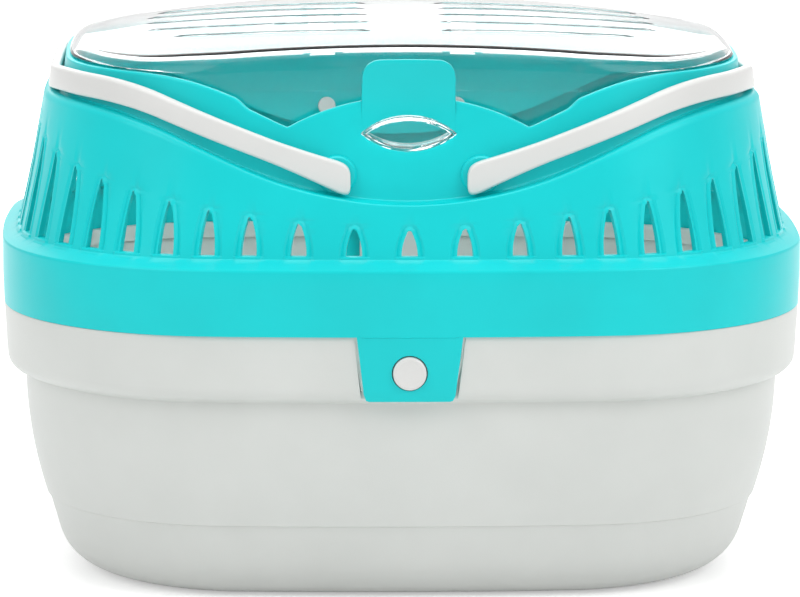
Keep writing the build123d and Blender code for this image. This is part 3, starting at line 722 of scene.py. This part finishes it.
# Holes for the lens, the buttons and the handles' stubs, and then those for the hinge pins
def coverCuts():
    p, t, h = pivot, latch, hinge
    holes, pinHoles = [lensCutter()], []
    reach = h["lugHalf"] + h["ear"] + 1
    for sy in (-1, 1):
        holes.append(roundShell(0.0, t["holeZ"], [(t["hole"], sy * y) for y in t["holeCut"]], 64))
        for sx in (-1, 1):
            stubHole = [(p["stub"] + p["stubGap"], sy * y) for y in p["stubCut"]]
            holes.append(roundShell(sx * p["x"], p["z"], stubHole, 40))
    for sx in (-1, 1):
        ring = circle(h["y"], h["z"], h["pin"])
        pinHoles.append(slabShell(ring, [(0, sx * h["half"] - reach), (0, sx * h["half"] + reach)], 0))
    return [holes, pinHoles]


# Where the cover's rows of points lie: shares of a stretch, rises in millimetres or angles of a round
coverRows = dict(
    skirt=(0.0, 0.03, 0.2, 0.45, 0.7, 0.9, 0.985, 1.0), slot=(0.0, 0.16, 0.34, 0.52, 0.7, 0.86, 1.0),
    tip=(0.4, 0.7, 0.9, 1.0), near=(0.3, 0.6, 1.05, 1.5, 2.05, 2.6), far=(0.12, 0.27, 0.45, 0.7, 1.0),
    edge=(18, 36, 54, 72, 90), ledge=(0.35, 0.7, 1.0), root=(30, 60, 90),
    upper=(0.06, 0.16, 0.28, 0.4, 0.52, 0.63, 0.74, 0.84, 0.92, 0.97, 1.0),
    inner=(1.0, 0.93, 0.8, 0.65, 0.5, 0.33, 0.16, 0.0), innerNear=((2.6, 0.8), (2.6, 0.4), (1.0, 0.0)),
)


# Faces of the cover's skin, which leaves the slots open, and of the slots' walls, which join the outer
# rows from base to tip with the matching inner rows from tip to base
def coverFaces(total, cols, outerFirst, outerLast, innerFirst):
    innerLast = innerFirst + outerLast - outerFirst
    order = np.arange(cols) % perSlot
    isHole = (order >= firstInside) & (order < firstInside + len(inside) - 1)
    keep = np.ones((total, cols), bool)
    keep[outerFirst:outerLast] &= ~isHole
    keep[innerFirst:innerLast] &= ~isHole
    faces = [gridFaces(total, cols, closeRows=True, closeCols=True)[keep]]
    number = np.arange(total * cols).reshape(total, cols)
    left = np.arange(0, cols, perSlot) + firstInside
    outerRows = np.arange(outerFirst, outerLast + 1)
    for column, flip in ((left, False), (left + len(inside) - 1, True)):
        outer = number[np.ix_(outerRows, column)]
        inner = number[np.ix_(innerFirst + outerLast - outerRows, column)]
        loop = [outer[:-1], inner[:-1], inner[1:], outer[1:]]
        faces.append(np.stack(loop[::-1] if flip else loop, -1).reshape(-1, 4))
    for outerRow, innerRow, flip in ((outerFirst, innerLast, True), (outerLast, innerFirst, False)):
        outer, inner = number[outerRow], number[innerRow]
        for k in range(len(inside) - 1):
            here = left + k
            loop = [outer[here], inner[here], inner[here + 1], outer[here + 1]]
            faces.append(np.stack(loop[::-1] if flip else loop, -1))
    return faces


# The cover is one skin: rows climb the outside from the lower edge to the rim and come down inside.
# A row is a turn, an inset, a height and an outward push for every column.
def makeCover():
    c, q, h, r, wall = cover, slots, latch, coverRows, cover["wall"]
    count = len(slotCentres)
    plainHalf = np.full(count, q["half"])
    base = slotColumns(plainHalf, besideAt(plainHalf, 0.0))
    cols = len(base)
    owner = np.repeat(slotCentres, perSlot)
    ownTop, columnTop = slotTop(owner), slotTop(np.mod(base, wholeLength))
    rows = []

    plainTurn = wallTurn(base)
    skirtTurn = snapTurn(snapTurn(plainTurn, 0.0, h["columns"], 0.0), 0.0, h["columns"], 6.0)
    rimTurn = snapTurn(plainTurn, c["rimRing"], (*thumbTab["columns"], c["valleyHalf"]), 0.0)
    rimTurn = snapTurn(rimTurn, c["rimRing"], hinge["columns"], 6.0)
    skirtX, _ = insetXY(skirtTurn, np.zeros(cols))
    wallX, _ = insetXY(plainTurn, np.full(cols, c["lowerInset"]))
    rimX, rimY = insetXY(rimTurn, np.full(cols, c["rimRing"]))
    holdShare = 1 - ease(np.abs(rimX), c["holdFrom"], c["holdTo"])
    frontAngle = cornerOf(*insetSizes(c["rimRing"]))[2]
    skirtShare, endShare = (ease(np.abs(v), c["endFrom"], c["endTo"]) for v in (skirtX, wallX))

    # Inset of the vented wall. Its outside, where inner is 0, is drawn in a little at the ends.
    def ventedAt(z, inner=0.0):
        return lowerAt(z) + (inner or endShare * np.interp(z, c["endWallZ"], c["endWall"]))

    # Row of the vented wall, with the dents round the slots on its outside
    def ventedRow(s, z, inner):
        return wallTurn(s), ventedAt(z, inner), z, 0.0 if inner else -slotDent(s - owner, z, ownTop)

    # Keeps a column of the upper wall at the same X while the inset changes
    def held(inset):
        angle = cornerOf(*insetSizes(np.asarray(inset, float)))[2]
        middle = np.round(rimTurn / 6) * 6
        return middle + (rimTurn - middle) * (1 + holdShare * (frontAngle / angle - 1))

    def add(turn, inset, z, push=0.0):
        rows.append([np.broadcast_to(v, (cols,)).astype(float) for v in (turn, inset, z, push)])

    # Height of the ledge at a row, not above the vented wall's own edge
    def ledgeRow(turn, inset):
        x, y = insetXY(turn, inset)
        return np.minimum(ledgeAt(x, y), edge)

    # Rows from the lower edge, with its latch tabs, up to the skirt's top
    def skirtRows(inner=0.0):
        foot = skirtFootAt(skirtX)
        inTab = foot < seatHeight - hair
        knee = np.where(inTab, seatHeight, seatHeight + 2 * softEdge)

        def drawn(z):
            low = np.clip((c["endSeatZ"] - z) / (c["endSeatZ"] - seatHeight), 0, 1)
            return inner or skirtShare * (c["endSkirt"] + c["endSeat"] * low)

        result = []
        for f in r["skirt"]:
            z = foot + f * (knee - foot)
            tuck = h["tuck"] * np.clip((seatHeight - z) / (seatHeight - h["low"]), 0, 1)
            edge = 0.0 if f else (-softEdge if inner else softEdge)
            step = 0.0 if inner else h["stepBack"] * (inTab & (f < 1))
            result.append((skirtTurn, tuck + drawn(z) + edge + step, z))
        top = c["innerTop"] if inner else c["skirtTop"]
        for f in (0.2, 0.4, 0.6, 0.8, 1.0):
            z = knee + f * (top - knee)
            result.append((skirtTurn * (1 - f) + plainTurn * f, drawn(z), z))
        return result

    # Rows from the slots' base to their tips, with the columns following each slot's sides
    def slotRows(inner=0.0):
        top = slotTop(slotCentres)
        result = []
        for f, over in [(f, 0) for f in r["slot"]] + [(1, share * q["tip"]) for share in r["tip"]]:
            half = slotHalf(f * (top - q["tip"] - q["base"]) + over, top - q["base"])
            half = np.maximum(half, q["thinnest"])
            s = slotColumns(half, besideAt(half, over))
            z = q["base"] + f * (columnTop - q["tip"] - q["base"]) + over
            result.append(ventedRow(s, z, inner))
        return result

    # Row above the tips, at a rise and then at a share of the way up to the ledge, where the columns
    # drift back to their plain places
    def addAbove(rise, share, top, inner=0.0):
        z = columnTop + rise
        z = z + share * (top - z)
        half = np.full(count, q["thinnest"] + q["openRise"] * rise + q["openShare"] * share)
        s = slotColumns(half, besideAt(half, q["tip"] + rise)) * (1 - share**2) + base * share**2
        add(*ventedRow(s, z, inner))

    # How far the tab stands out of the wall: upright from its foot to the bend, then leaning forwards
    def tabPush(z):
        t = thumbTab
        upright = np.clip(upperAt(np.minimum(z, t["bend"])) - upperAt(t["foot"]), 0, None)
        back = np.clip(upperAt(z) - upperAt(t["bend"]), 0, None)
        over, soft = z - t["bend"], t["bendSoft"]
        bent = np.where(over > soft, over - soft / 2, np.where(over > 0, over**2 / (2 * soft), 0))
        inTab = (np.abs(rimX) <= t["half"] + hair) & (rimY < 0)
        return np.where(inTab, upright + back + bent * slopeOf(t["lean"]), 0.0)

    # Outside: skirt, shelf, sills, slots
    for row in skirtRows():
        add(*row)
    for inset, z in c["shelf"]:
        add(plainTurn, inset + endShare * c["endSkirt"] * (1 - inset / c["lowerInset"]), z)
    sill = q["sill"] * np.clip(q["sillHalf"] - np.abs(base - owner), 0, 1)
    add(plainTurn, c["shelfEnd"] - q["sillFoot"] * sill, c["shelfEndZ"])
    for z in q["sillZ"]:
        add(plainTurn, lowerAt(z), z, sill)
    outerFirst = len(rows)
    for row in slotRows():
        add(*row)
    outerLast = len(rows) - 1

    # Up to the ledge's edge, which is found by repeated substitution, and over its round
    edge = np.full(cols, c["ledgeLow"])
    for _ in range(8):
        x, y = insetXY(plainTurn, ventedAt(edge))
        edge = ledgeAt(x, y)
    edgeRound = c["edgeRound"] + c["edgeGain"] * np.clip((edge - c["edgeFrom"]) / c["edgeRun"], 0, 1)
    wallTop = edge - edgeRound
    for rise in r["near"]:
        addAbove(rise, 0.0, wallTop)
    for share in r["far"]:
        addAbove(r["near"][-1], share, wallTop)
    for angle in np.radians(r["edge"]):
        inset = ventedAt(wallTop) + edgeRound * (1 - np.cos(angle))
        add(plainTurn, inset, wallTop + edgeRound * np.sin(angle))

    # Across the ledge, up the wall above it to the rim, over the rim and down inside
    outerEnd, innerEnd = ventedAt(wallTop) + edgeRound, upperAt(edge) - c["rootRound"]
    for f in r["ledge"]:
        inset = outerEnd + f * (innerEnd - outerEnd)
        turn = plainTurn * (1 - f) + held(inset) * f
        add(turn, inset, ledgeRow(turn, inset))
    root = ledgeRow(rimTurn, upperAt(edge))
    for angle in np.radians(r["root"]):
        inset = upperAt(root) - c["rootRound"] * (1 - np.sin(angle))
        add(held(inset), inset, root + c["rootRound"] * (1 - np.cos(angle)))
    rim = rimAt(rimX, rimY)
    low, high, under = root + c["rootRound"], rim - c["rimSoft"], root - wall
    for f in r["upper"]:
        z = low + f * (high - low)
        add(held(upperAt(z)), upperAt(z), z, tabPush(z))
    soft, bevel = c["rimSoft"], c["rimBevel"]
    for inset, drop in ((bevel, bevel), (soft, 0.0), (wall - soft, 0.0), (wall - bevel, bevel)):
        add(held(upperAt(rim) + inset), upperAt(rim) + inset, rim - drop, tabPush(rim))
    for f in r["inner"]:
        z = under + f * (high - under)
        add(held(upperAt(z) + wall), upperAt(z) + wall, z, tabPush(z))
    for f in (0.5, 1.0):
        inset = upperAt(under) + wall + f * (lowerAt(edge - wall) - upperAt(under))
        turn = rimTurn * (1 - f) + plainTurn * f
        add(turn, inset, ledgeRow(turn, inset) - wall)
    for rise, share in r["innerNear"]:
        addAbove(rise, share, edge - wall, wall)
    innerFirst = len(rows)
    for row in slotRows(wall)[::-1]:
        add(*row)
    for z in c["innerWallZ"]:
        add(plainTurn, lowerAt(z) + wall, z)
    for inset, z in c["innerShelf"]:
        add(plainTurn, inset + wall, z)
    for row in skirtRows(wall)[::-1]:
        add(*row)

    turn, inset, z, push = np.moveaxis(np.array(rows), 1, 0)
    x, y, nx, ny = insetPoint(turn, inset)
    points = np.stack([x + nx * push, y + ny * push, z], -1).reshape(-1, 3)
    shell = outward(points, coverFaces(len(rows), cols, outerFirst, outerLast, innerFirst))
    return makePiece("coverShell", [shell], "cover", teal, "cover_shell", c["sharp"],
                     coverAdditions(), coverCuts())


makeCover()

# Clear lid

lid = dict(
    inset=28.0, taper=1.2, bottom=164.5, waist=189.0, crown=208.0, crownBow=680.0, wall=1.8, shoulder=7.5,
    bulge=2.2, bulgeZ=193.1, bulgeFrom=78.0, bulgeTo=100.0, lipBelow=0.15, lipAbove=0.35, lipHighest=0.45,
    lipEase=(0.2, 1.0), lipOut=0.05, columns=280, apronZ=(164.9, 170.0, 176.0, 182.0, 189.0),
    crownScales=(0.95, 0.88, 0.78, 0.66, 0.53, 0.4, 0.27, 0.14, 0.04), ribCentre=190.0, ribFirst=182.0,
    ribPitch=16.4, ribCount=5, ribHalf=0.6, ribRise=0.5, ribInner=13.0, ribMargin=27.0, ribFade=3.0,
    ribEnd=0.25, ribAcross=(-1, -0.75, -0.3, 0.3, 0.75, 1, 1, -1),
    ribUp=(0.0, 0.7, 1.0, 1.0, 0.7, 0.0, -1.6, -1.6),
)


# Height of the crown, which lies on a ball
def crownAt(x, y):
    return lid["crown"] - arcDrop(lid["crownBow"], np.hypot(x, y))


# Rings of the lid's skin drawn in by a wall: apron, shoulder round and crown. Above the rim the ends
# bulge outwards. The crown's rings shrink towards the middle.
def lidRings(wall):
    q = lid
    turn = evenTurns(q["inset"], q["columns"])
    x0, _ = insetXY(turn, q["inset"])
    bulge = q["bulge"] * ease(np.abs(x0), q["bulgeFrom"], q["bulgeTo"])
    rings = []

    def add(inset, z):
        x, y = insetXY(turn, np.broadcast_to(inset, turn.shape))
        rings.append(np.stack([x, y, 0 * x + z], -1))

    add(q["inset"] + q["taper"] + (wall - softEdge if wall else softEdge), q["bottom"])
    for z in q["apronZ"]:
        add(q["inset"] + wall + q["taper"] * (q["waist"] - z) / (q["waist"] - q["bottom"]), z)
    radius = q["shoulder"] - wall
    topX, topY = insetXY(turn, q["inset"] + q["shoulder"] - bulge)
    centreZ = crownAt(topX, topY) - q["shoulder"]
    lipZ = np.minimum(q["bulgeZ"] - q["lipBelow"], centreZ + q["shoulder"] * q["lipHighest"])
    first = np.arcsin(np.clip((q["bulgeZ"] + q["lipAbove"] - centreZ) / q["shoulder"], 0, 1))
    start = first * ease(bulge, *q["lipEase"])
    add(q["inset"] + wall, lipZ - 1.0)
    add(q["inset"] + wall - bulge * q["lipOut"], lipZ)
    for f in np.linspace(0, 1, 9):
        angle = start + f * (math.pi / 2 - start)
        inset = q["inset"] - bulge + q["shoulder"] - radius * np.cos(angle)
        z = centreZ + radius * np.sin(angle)
        add(inset, np.maximum(z, lipZ + q["lipOut"] * f))
    edge = rings[-1]
    for scale in q["crownScales"]:
        x, y = edge[:, 0] * scale, edge[:, 1] * scale
        rings.append(np.stack([x, y, crownAt(x, y) - wall], -1))
    return rings


# Ribs on the crown: arcs about a point behind the lid, with a low round section, bare in the middle
def ribShells():
    q = lid
    limit = insetSizes(q["inset"] + q["ribMargin"])
    shells = []
    for i in range(q["ribCount"]):
        radius = q["ribFirst"] + i * q["ribPitch"]
        turn = turnAt(np.linspace(0, quarterLength, 400), *limit)
        ex, ey, _, _ = ringPoint(np.concatenate([turn, 6 - turn]), *limit)
        gap = np.hypot(ex, ey - q["ribCentre"]) - radius
        reach = ex[np.argmin(np.abs(gap))]
        x = np.linspace(q["ribInner"], reach, 60)
        y = q["ribCentre"] - np.sqrt(radius**2 - x**2)
        across, up = np.array(q["ribAcross"]) * q["ribHalf"], np.array(q["ribUp"]) * q["ribRise"]
        nx, ny = x / radius, (y - q["ribCentre"]) / radius
        fade = np.clip(np.minimum(x - q["ribInner"], reach - x) / q["ribFade"], q["ribEnd"], 1)
        px, py = x[:, None] + nx[:, None] * across, y[:, None] + ny[:, None] * across
        pz = crownAt(px, py) + np.where(up > 0, up * fade[:, None], up)
        for side in (-1, 1):
            shells.append(ringsShell(np.stack([px * side, py, pz], -1)))
    return shells


def makeLid():
    h = hinge
    rings = np.array(lidRings(0.0) + lidRings(lid["wall"])[::-1])
    rows, cols = rings.shape[:2]
    half = rows // 2
    quads = gridFaces(rows, cols, closeRows=True, closeCols=True)
    keep = np.arange(rows) != half - 1
    ring = np.arange(cols)[None, :]
    caps = [ring + (half - 1) * cols, ring[:, ::-1] + half * cols]
    shell = outward(rings.reshape(-1, 3), [quads[keep].reshape(-1, 4), *caps])
    wallY = plan["halfY"] - lid["inset"] - lid["wall"] / 2
    arc = circle(h["y"], h["z"], h["lugRadius"], -90, 90, 19)
    outline = np.concatenate([arc, [[wallY, h["z"] + h["lugRadius"]], [wallY, h["z"] - h["lugRadius"]]]])
    bore = circle(h["y"], h["z"], h["pin"] + h["pinGap"])
    added = ribShells()
    holes = [lensCutter()]
    for side in (-1, 1):
        low = side * h["half"] - h["lugWidth"] / 2
        added.append(slabShell(outline, [(0, low), (0, low + h["lugWidth"])], 0))
        holes.append(slabShell(bore, [(0, low - 1), (0, low + h["lugWidth"] + 1)], 0))
    return makePiece("clearLid", [shell], "lid", clear, "clear_lid", 30.0, added, [holes])


makeLid()


# Pins: round bars along X through the ears and lugs, with eased ends
def makePins():
    h = hinge
    ring = circle(h["y"], h["z"], h["pin"] - h["pinEase"])
    reach = h["lugHalf"] + h["ear"]
    shells = [slabShell(ring, eased(middle - reach, middle + reach, h["pinEdge"]), 0)
              for middle in (-h["half"], h["half"])]
    return makePiece("hingePins", shells, "cover", pale, "lid_hinge_pins")


# Catch: a lens-shaped cup on a flange. Levels are (growth, y) from the floor of the front recess,
# over the rim, back to the flange and into the hollow behind.
def makeCatch():
    q = lens
    front = -(plan["halfY"] - upperAt(q["z"])) - q["proud"]
    apron = lid["inset"] + lid["taper"] * (lid["waist"] - q["z"]) / (lid["waist"] - lid["bottom"])
    seat = -(plan["halfY"] - apron - lid["wall"]) + q["seatGap"]
    floor = front + q["recess"]
    levels = [(-q["wall"] - 0.35, floor), (-q["wall"], floor - softEdge), (-q["wall"] + 0.05, front + 0.25),
              (-q["wall"] + softEdge, front), (-softEdge, front), (0, front + softEdge), (0, seat),
              (q["lip"] - 0.2, seat), (q["lip"], seat + 0.2), (q["lip"], seat + q["flange"]),
              (-q["wall"], seat + q["flange"]), (-q["wall"] - 0.1, floor + q["wall"])]
    rings = [np.insert(lensOutline(growth), 1, place, axis=1) for growth, place in levels]
    return makePiece("lensCatch", [ringsShell(np.array(rings))], "lid_catch", clear,
                     "lid_release_catch", 30.0)


makePins()
makeCatch()


# Bail handles

# Height of the bar's middle: up a slope, level round the corner, with a dip along the end
def bailHeight(x, y):
    b = bail
    slope = math.radians(b["slope"])
    rise = pivot["z"] + (x - pivot["x"]) * math.tan(slope)
    turnZ = pivot["z"] + (b["turn"] - pivot["x"]) * math.tan(slope)
    levelX = b["turn"] + b["level"] * math.sin(slope)
    levelZ = turnZ + b["level"] * (1 - math.cos(slope))
    arc = levelZ - arcDrop(b["level"], np.clip(levelX - x, 0, b["level"] - 1))
    z = np.where(x < b["turn"], rise, np.where(x < levelX, arc, levelZ))
    return z - b["dip"] * np.cos(math.pi / 2 * np.clip(np.abs(y) / b["dipReach"], 0, 1)) ** 2


# The bar is a rounded rectangle carried along its outline, leaning in with the wall beside the ends.
# Each end flares and closes in a D: half height times (1 - u^n)^(1/n), where u is the tip's share.
def makeBail(name, body, side):
    b, p = bail, pivot
    sizes = (b["halfX"], b["halfY"], b["corner"])
    start = plan["frontBow"] * math.asin(p["x"] / plan["frontBow"])
    length = 2 * sum(quarterLengths(*sizes))
    tip = start - b["tip"] * np.sin(np.linspace(math.pi / 2, 0, b["tipSections"], endpoint=False))
    s = np.concatenate([tip, np.linspace(start, length - start, b["sections"]), length - tip[::-1]])
    x, y, nx, ny = ringPoint(turnAt(s, *sizes), *sizes)
    fromEnd = np.minimum(s - start, length - start - s)
    flare = np.clip(1 - fromEnd / b["flare"], 0, 1) ** b["flarePower"]
    tall = b["tall"] / 2 + (b["end"] - b["tall"] / 2) * flare
    tipShare = np.clip(-fromEnd / (b["tip"] + 0.1), 0, 1) ** b["tipPower"]
    tall = np.where(fromEnd < 0, b["end"] * (1 - tipShare) ** (1 / b["tipPower"]), tall)
    turn = np.radians(np.concatenate([q + np.linspace(0, 90, 7) for q in (0, 90, 180, 270)]))
    signOut, signUp = np.repeat([1, -1, -1, 1], 7), np.repeat([1, 1, -1, -1], 7)
    out = signOut * (b["thick"] / 2 - b["edge"]) + b["edge"] * np.cos(turn)
    up = signUp * (tall[:, None] - b["edge"]) + b["edge"] * np.sin(turn)
    out = out - b["lean"] * ease(x, b["leanFrom"], b["leanTo"])[:, None] * up
    px, py = x[:, None] + nx[:, None] * out, y[:, None] + ny[:, None] * out
    pz = bailHeight(x, y)[:, None] + up
    bar = ringsShell(np.stack([px * side, py, pz], -1))
    armY = b["halfY"] - float(bowBack(p["x"]))
    wallInner = plan["halfY"] - upperAt(p["z"]) - cover["wall"] - float(bowBack(p["x"]))
    head = wallInner - p["head"] * slopeOf(cover["upperDraft"]) - p["headGap"]
    foot = head - p["headThick"]
    profile = [(p["stub"], armY), (p["stub"], head), (p["head"], head),
               (p["head"], foot + p["headEdge"]), (p["head"] - p["headEdge"], foot)]
    ends = [roundShell(side * p["x"], p["z"], [(r, sy * place) for r, place in profile]) for sy in (-1, 1)]
    return makePiece(name, [bar], body, white, body, 32.0, ends)


makeBail("leftBail", "left_handle", -1)
makeBail("rightBail", "right_handle", 1)


# Latches

# A spring tongue behind the tab, with the round button that fills the tab's hole.
# The button's face is a shallow dish: depth times one minus the radius squared.
def makeLatch(name, node, body, side):
    h = latch
    front = plan["halfY"] - h["tuck"] - cover["wall"] - h["tongueGap"]
    back = front - h["tongueThick"]
    outline = roundedBox(-h["tongueHalf"], h["tongueLow"], h["tongueHalf"], h["tongueTop"], h["corner"])
    tongue = slabShell(outline, [(g, -side * y) for g, y in eased(back, front, softEdge)], 1)
    face, radius = plan["halfY"] + h["proud"], h["button"]
    flat = radius - h["buttonRim"]
    dish = [(r, face - h["dish"] * (1 - (r / flat) ** 2)) for r in (*h["dishRings"], flat)]
    rounding = [(radius - inset, face - drop) for inset, drop in h["buttonRound"]]
    profile = dish + rounding + [(radius, (front + back) / 2)]
    button = roundShell(0.0, h["holeZ"], [(r, -side * y) for r, y in profile], 64)
    return makePiece(name, [tongue], body, white, node, 30.0, [button])


makeLatch("frontLatch", "front_latch_button", "front_latch", 1)
makeLatch("rearLatch", "rear_latch_button", "rear_latch", -1)

# Stage, light and camera

stage = dict(half=4.0, colour=0.9, nearGlow=0.42, farGlow=1.0, nearReach=0.25, farReach=1.1)


# Pale floor. Where it is seen it glows a little near the object and fully far away, so it fades to white
# and keeps the shadow.
def makeStage():
    h = stage["half"]
    mesh = bpy.data.meshes.new("floor")
    mesh.from_pydata([(-h, -h, 0), (h, -h, 0), (h, h, 0), (-h, h, 0)], [], [(0, 1, 2, 3)])
    floor = makeObject("floor", mesh)
    material, nodes, links, shader = newMaterial("paleFloor")
    shader.inputs["Base Color"].default_value = (stage["colour"], stage["colour"], stage["colour"], 1)
    shader.inputs["Roughness"].default_value = 0.9
    shader.inputs["Specular IOR Level"].default_value = 0.1
    shader.inputs["Emission Color"].default_value = (1, 1, 1, 1)
    where, far = nodes.new("ShaderNodeTexCoord"), nodes.new("ShaderNodeVectorMath")
    far.operation = "LENGTH"
    glow, seen = rangeNode(nodes, stage["nearGlow"], stage["farGlow"]), nodes.new("ShaderNodeMath")
    glow.inputs["From Min"].default_value = stage["nearReach"]
    glow.inputs["From Max"].default_value = stage["farReach"]
    seen.operation = "MULTIPLY"
    links.new(where.outputs["Object"], far.inputs[0])
    links.new(far.outputs["Value"], glow.inputs["Value"])
    links.new(glow.outputs["Result"], seen.inputs[0])
    links.new(seenRays(nodes, links), seen.inputs[1])
    links.new(seen.outputs[0], shader.inputs["Emission Strength"])
    mesh.materials.append(material)


# One where a ray is seen by the camera, directly, in a reflection or through glass
def seenRays(nodes, links):
    path = nodes.new("ShaderNodeLightPath")
    first, second = nodes.new("ShaderNodeMath"), nodes.new("ShaderNodeMath")
    first.operation = second.operation = "MAXIMUM"
    links.new(path.outputs["Is Camera Ray"], first.inputs[0])
    links.new(path.outputs["Is Glossy Ray"], first.inputs[1])
    links.new(first.outputs[0], second.inputs[0])
    links.new(path.outputs["Is Transmission Ray"], second.inputs[1])
    return second.outputs[0]


# Rectangular lamp that points at the carrier
def makeLamp(name, place, size, watts):
    data = bpy.data.lights.new(name, "AREA")
    data.shape = "RECTANGLE"
    data.size, data.size_y = size
    data.energy = watts
    lamp = makeObject(name, data)
    lamp.location = place
    lamp.rotation_euler = (Vector((0, 0, 0.1)) - Vector(place)).to_track_quat("-Z", "Y").to_euler()


# White where it is seen, and dimmer where it lights
def makeWorld():
    world = bpy.data.worlds.new("studio")
    bpy.context.scene.world = world
    world.use_nodes = True
    nodes, links = world.node_tree.nodes, world.node_tree.links
    seen, light = nodes["Background"], nodes.new("ShaderNodeBackground")
    mix = nodes.new("ShaderNodeMixShader")
    seen.inputs["Color"].default_value = (1, 1, 1, 1)
    seen.inputs["Strength"].default_value = 1.0
    light.inputs["Color"].default_value = (1, 1, 1, 1)
    light.inputs["Strength"].default_value = 0.42
    links.new(seenRays(nodes, links), mix.inputs["Fac"])
    links.new(light.outputs[0], mix.inputs[1])
    links.new(seen.outputs[0], mix.inputs[2])
    links.new(mix.outputs[0], nodes["World Output"].inputs["Surface"])


camera = dict(
    target=96.3, distance=1850.0, pitch=10.0, yaw=2.0, roll=0.25, focal=4878.0, shift=1.0, width=800,
    sensor=36.0, farthest=20.0,
)


# Stands at a distance from the target, above it by the pitch and to its left by the yaw
def makeCamera():
    c = camera
    pitch, yaw = math.radians(c["pitch"]), math.radians(c["yaw"])
    target = Vector((0, 0, c["target"])) * mm
    away = Vector((-math.sin(yaw) * math.cos(pitch), -math.cos(yaw) * math.cos(pitch), math.sin(pitch)))
    data = bpy.data.cameras.new("view")
    data.sensor_width = c["sensor"]
    data.lens = c["focal"] * data.sensor_width / c["width"]
    data.shift_x = c["shift"] / c["width"]
    data.clip_end = c["farthest"]
    eye = makeObject("view", data)
    turn = (-away).to_track_quat("-Z", "Y").to_matrix().to_4x4()
    roll = Matrix.Rotation(math.radians(c["roll"]), 4, "Z")
    eye.matrix_world = Matrix.Translation(target + away * c["distance"] * mm) @ turn @ roll
    bpy.context.scene.camera = eye


makeStage()
makeWorld()
makeLamp("leftSoftbox", (-1.3, -1.2, 1.3), (1.2, 1.2), 10.5)
makeLamp("rightSoftbox", (1.3, -1.2, 1.3), (1.2, 1.2), 13.5)
makeLamp("topSoftbox", (0, 0.0, 1.8), (1.6, 1.2), 18.0)
makeLamp("rearSoftbox", (0, 1.8, 0.9), (1.4, 1.0), 7.0)
makeCamera()
bpy.context.scene.view_settings.view_transform = "Standard"
print("made stage, lamps and camera")
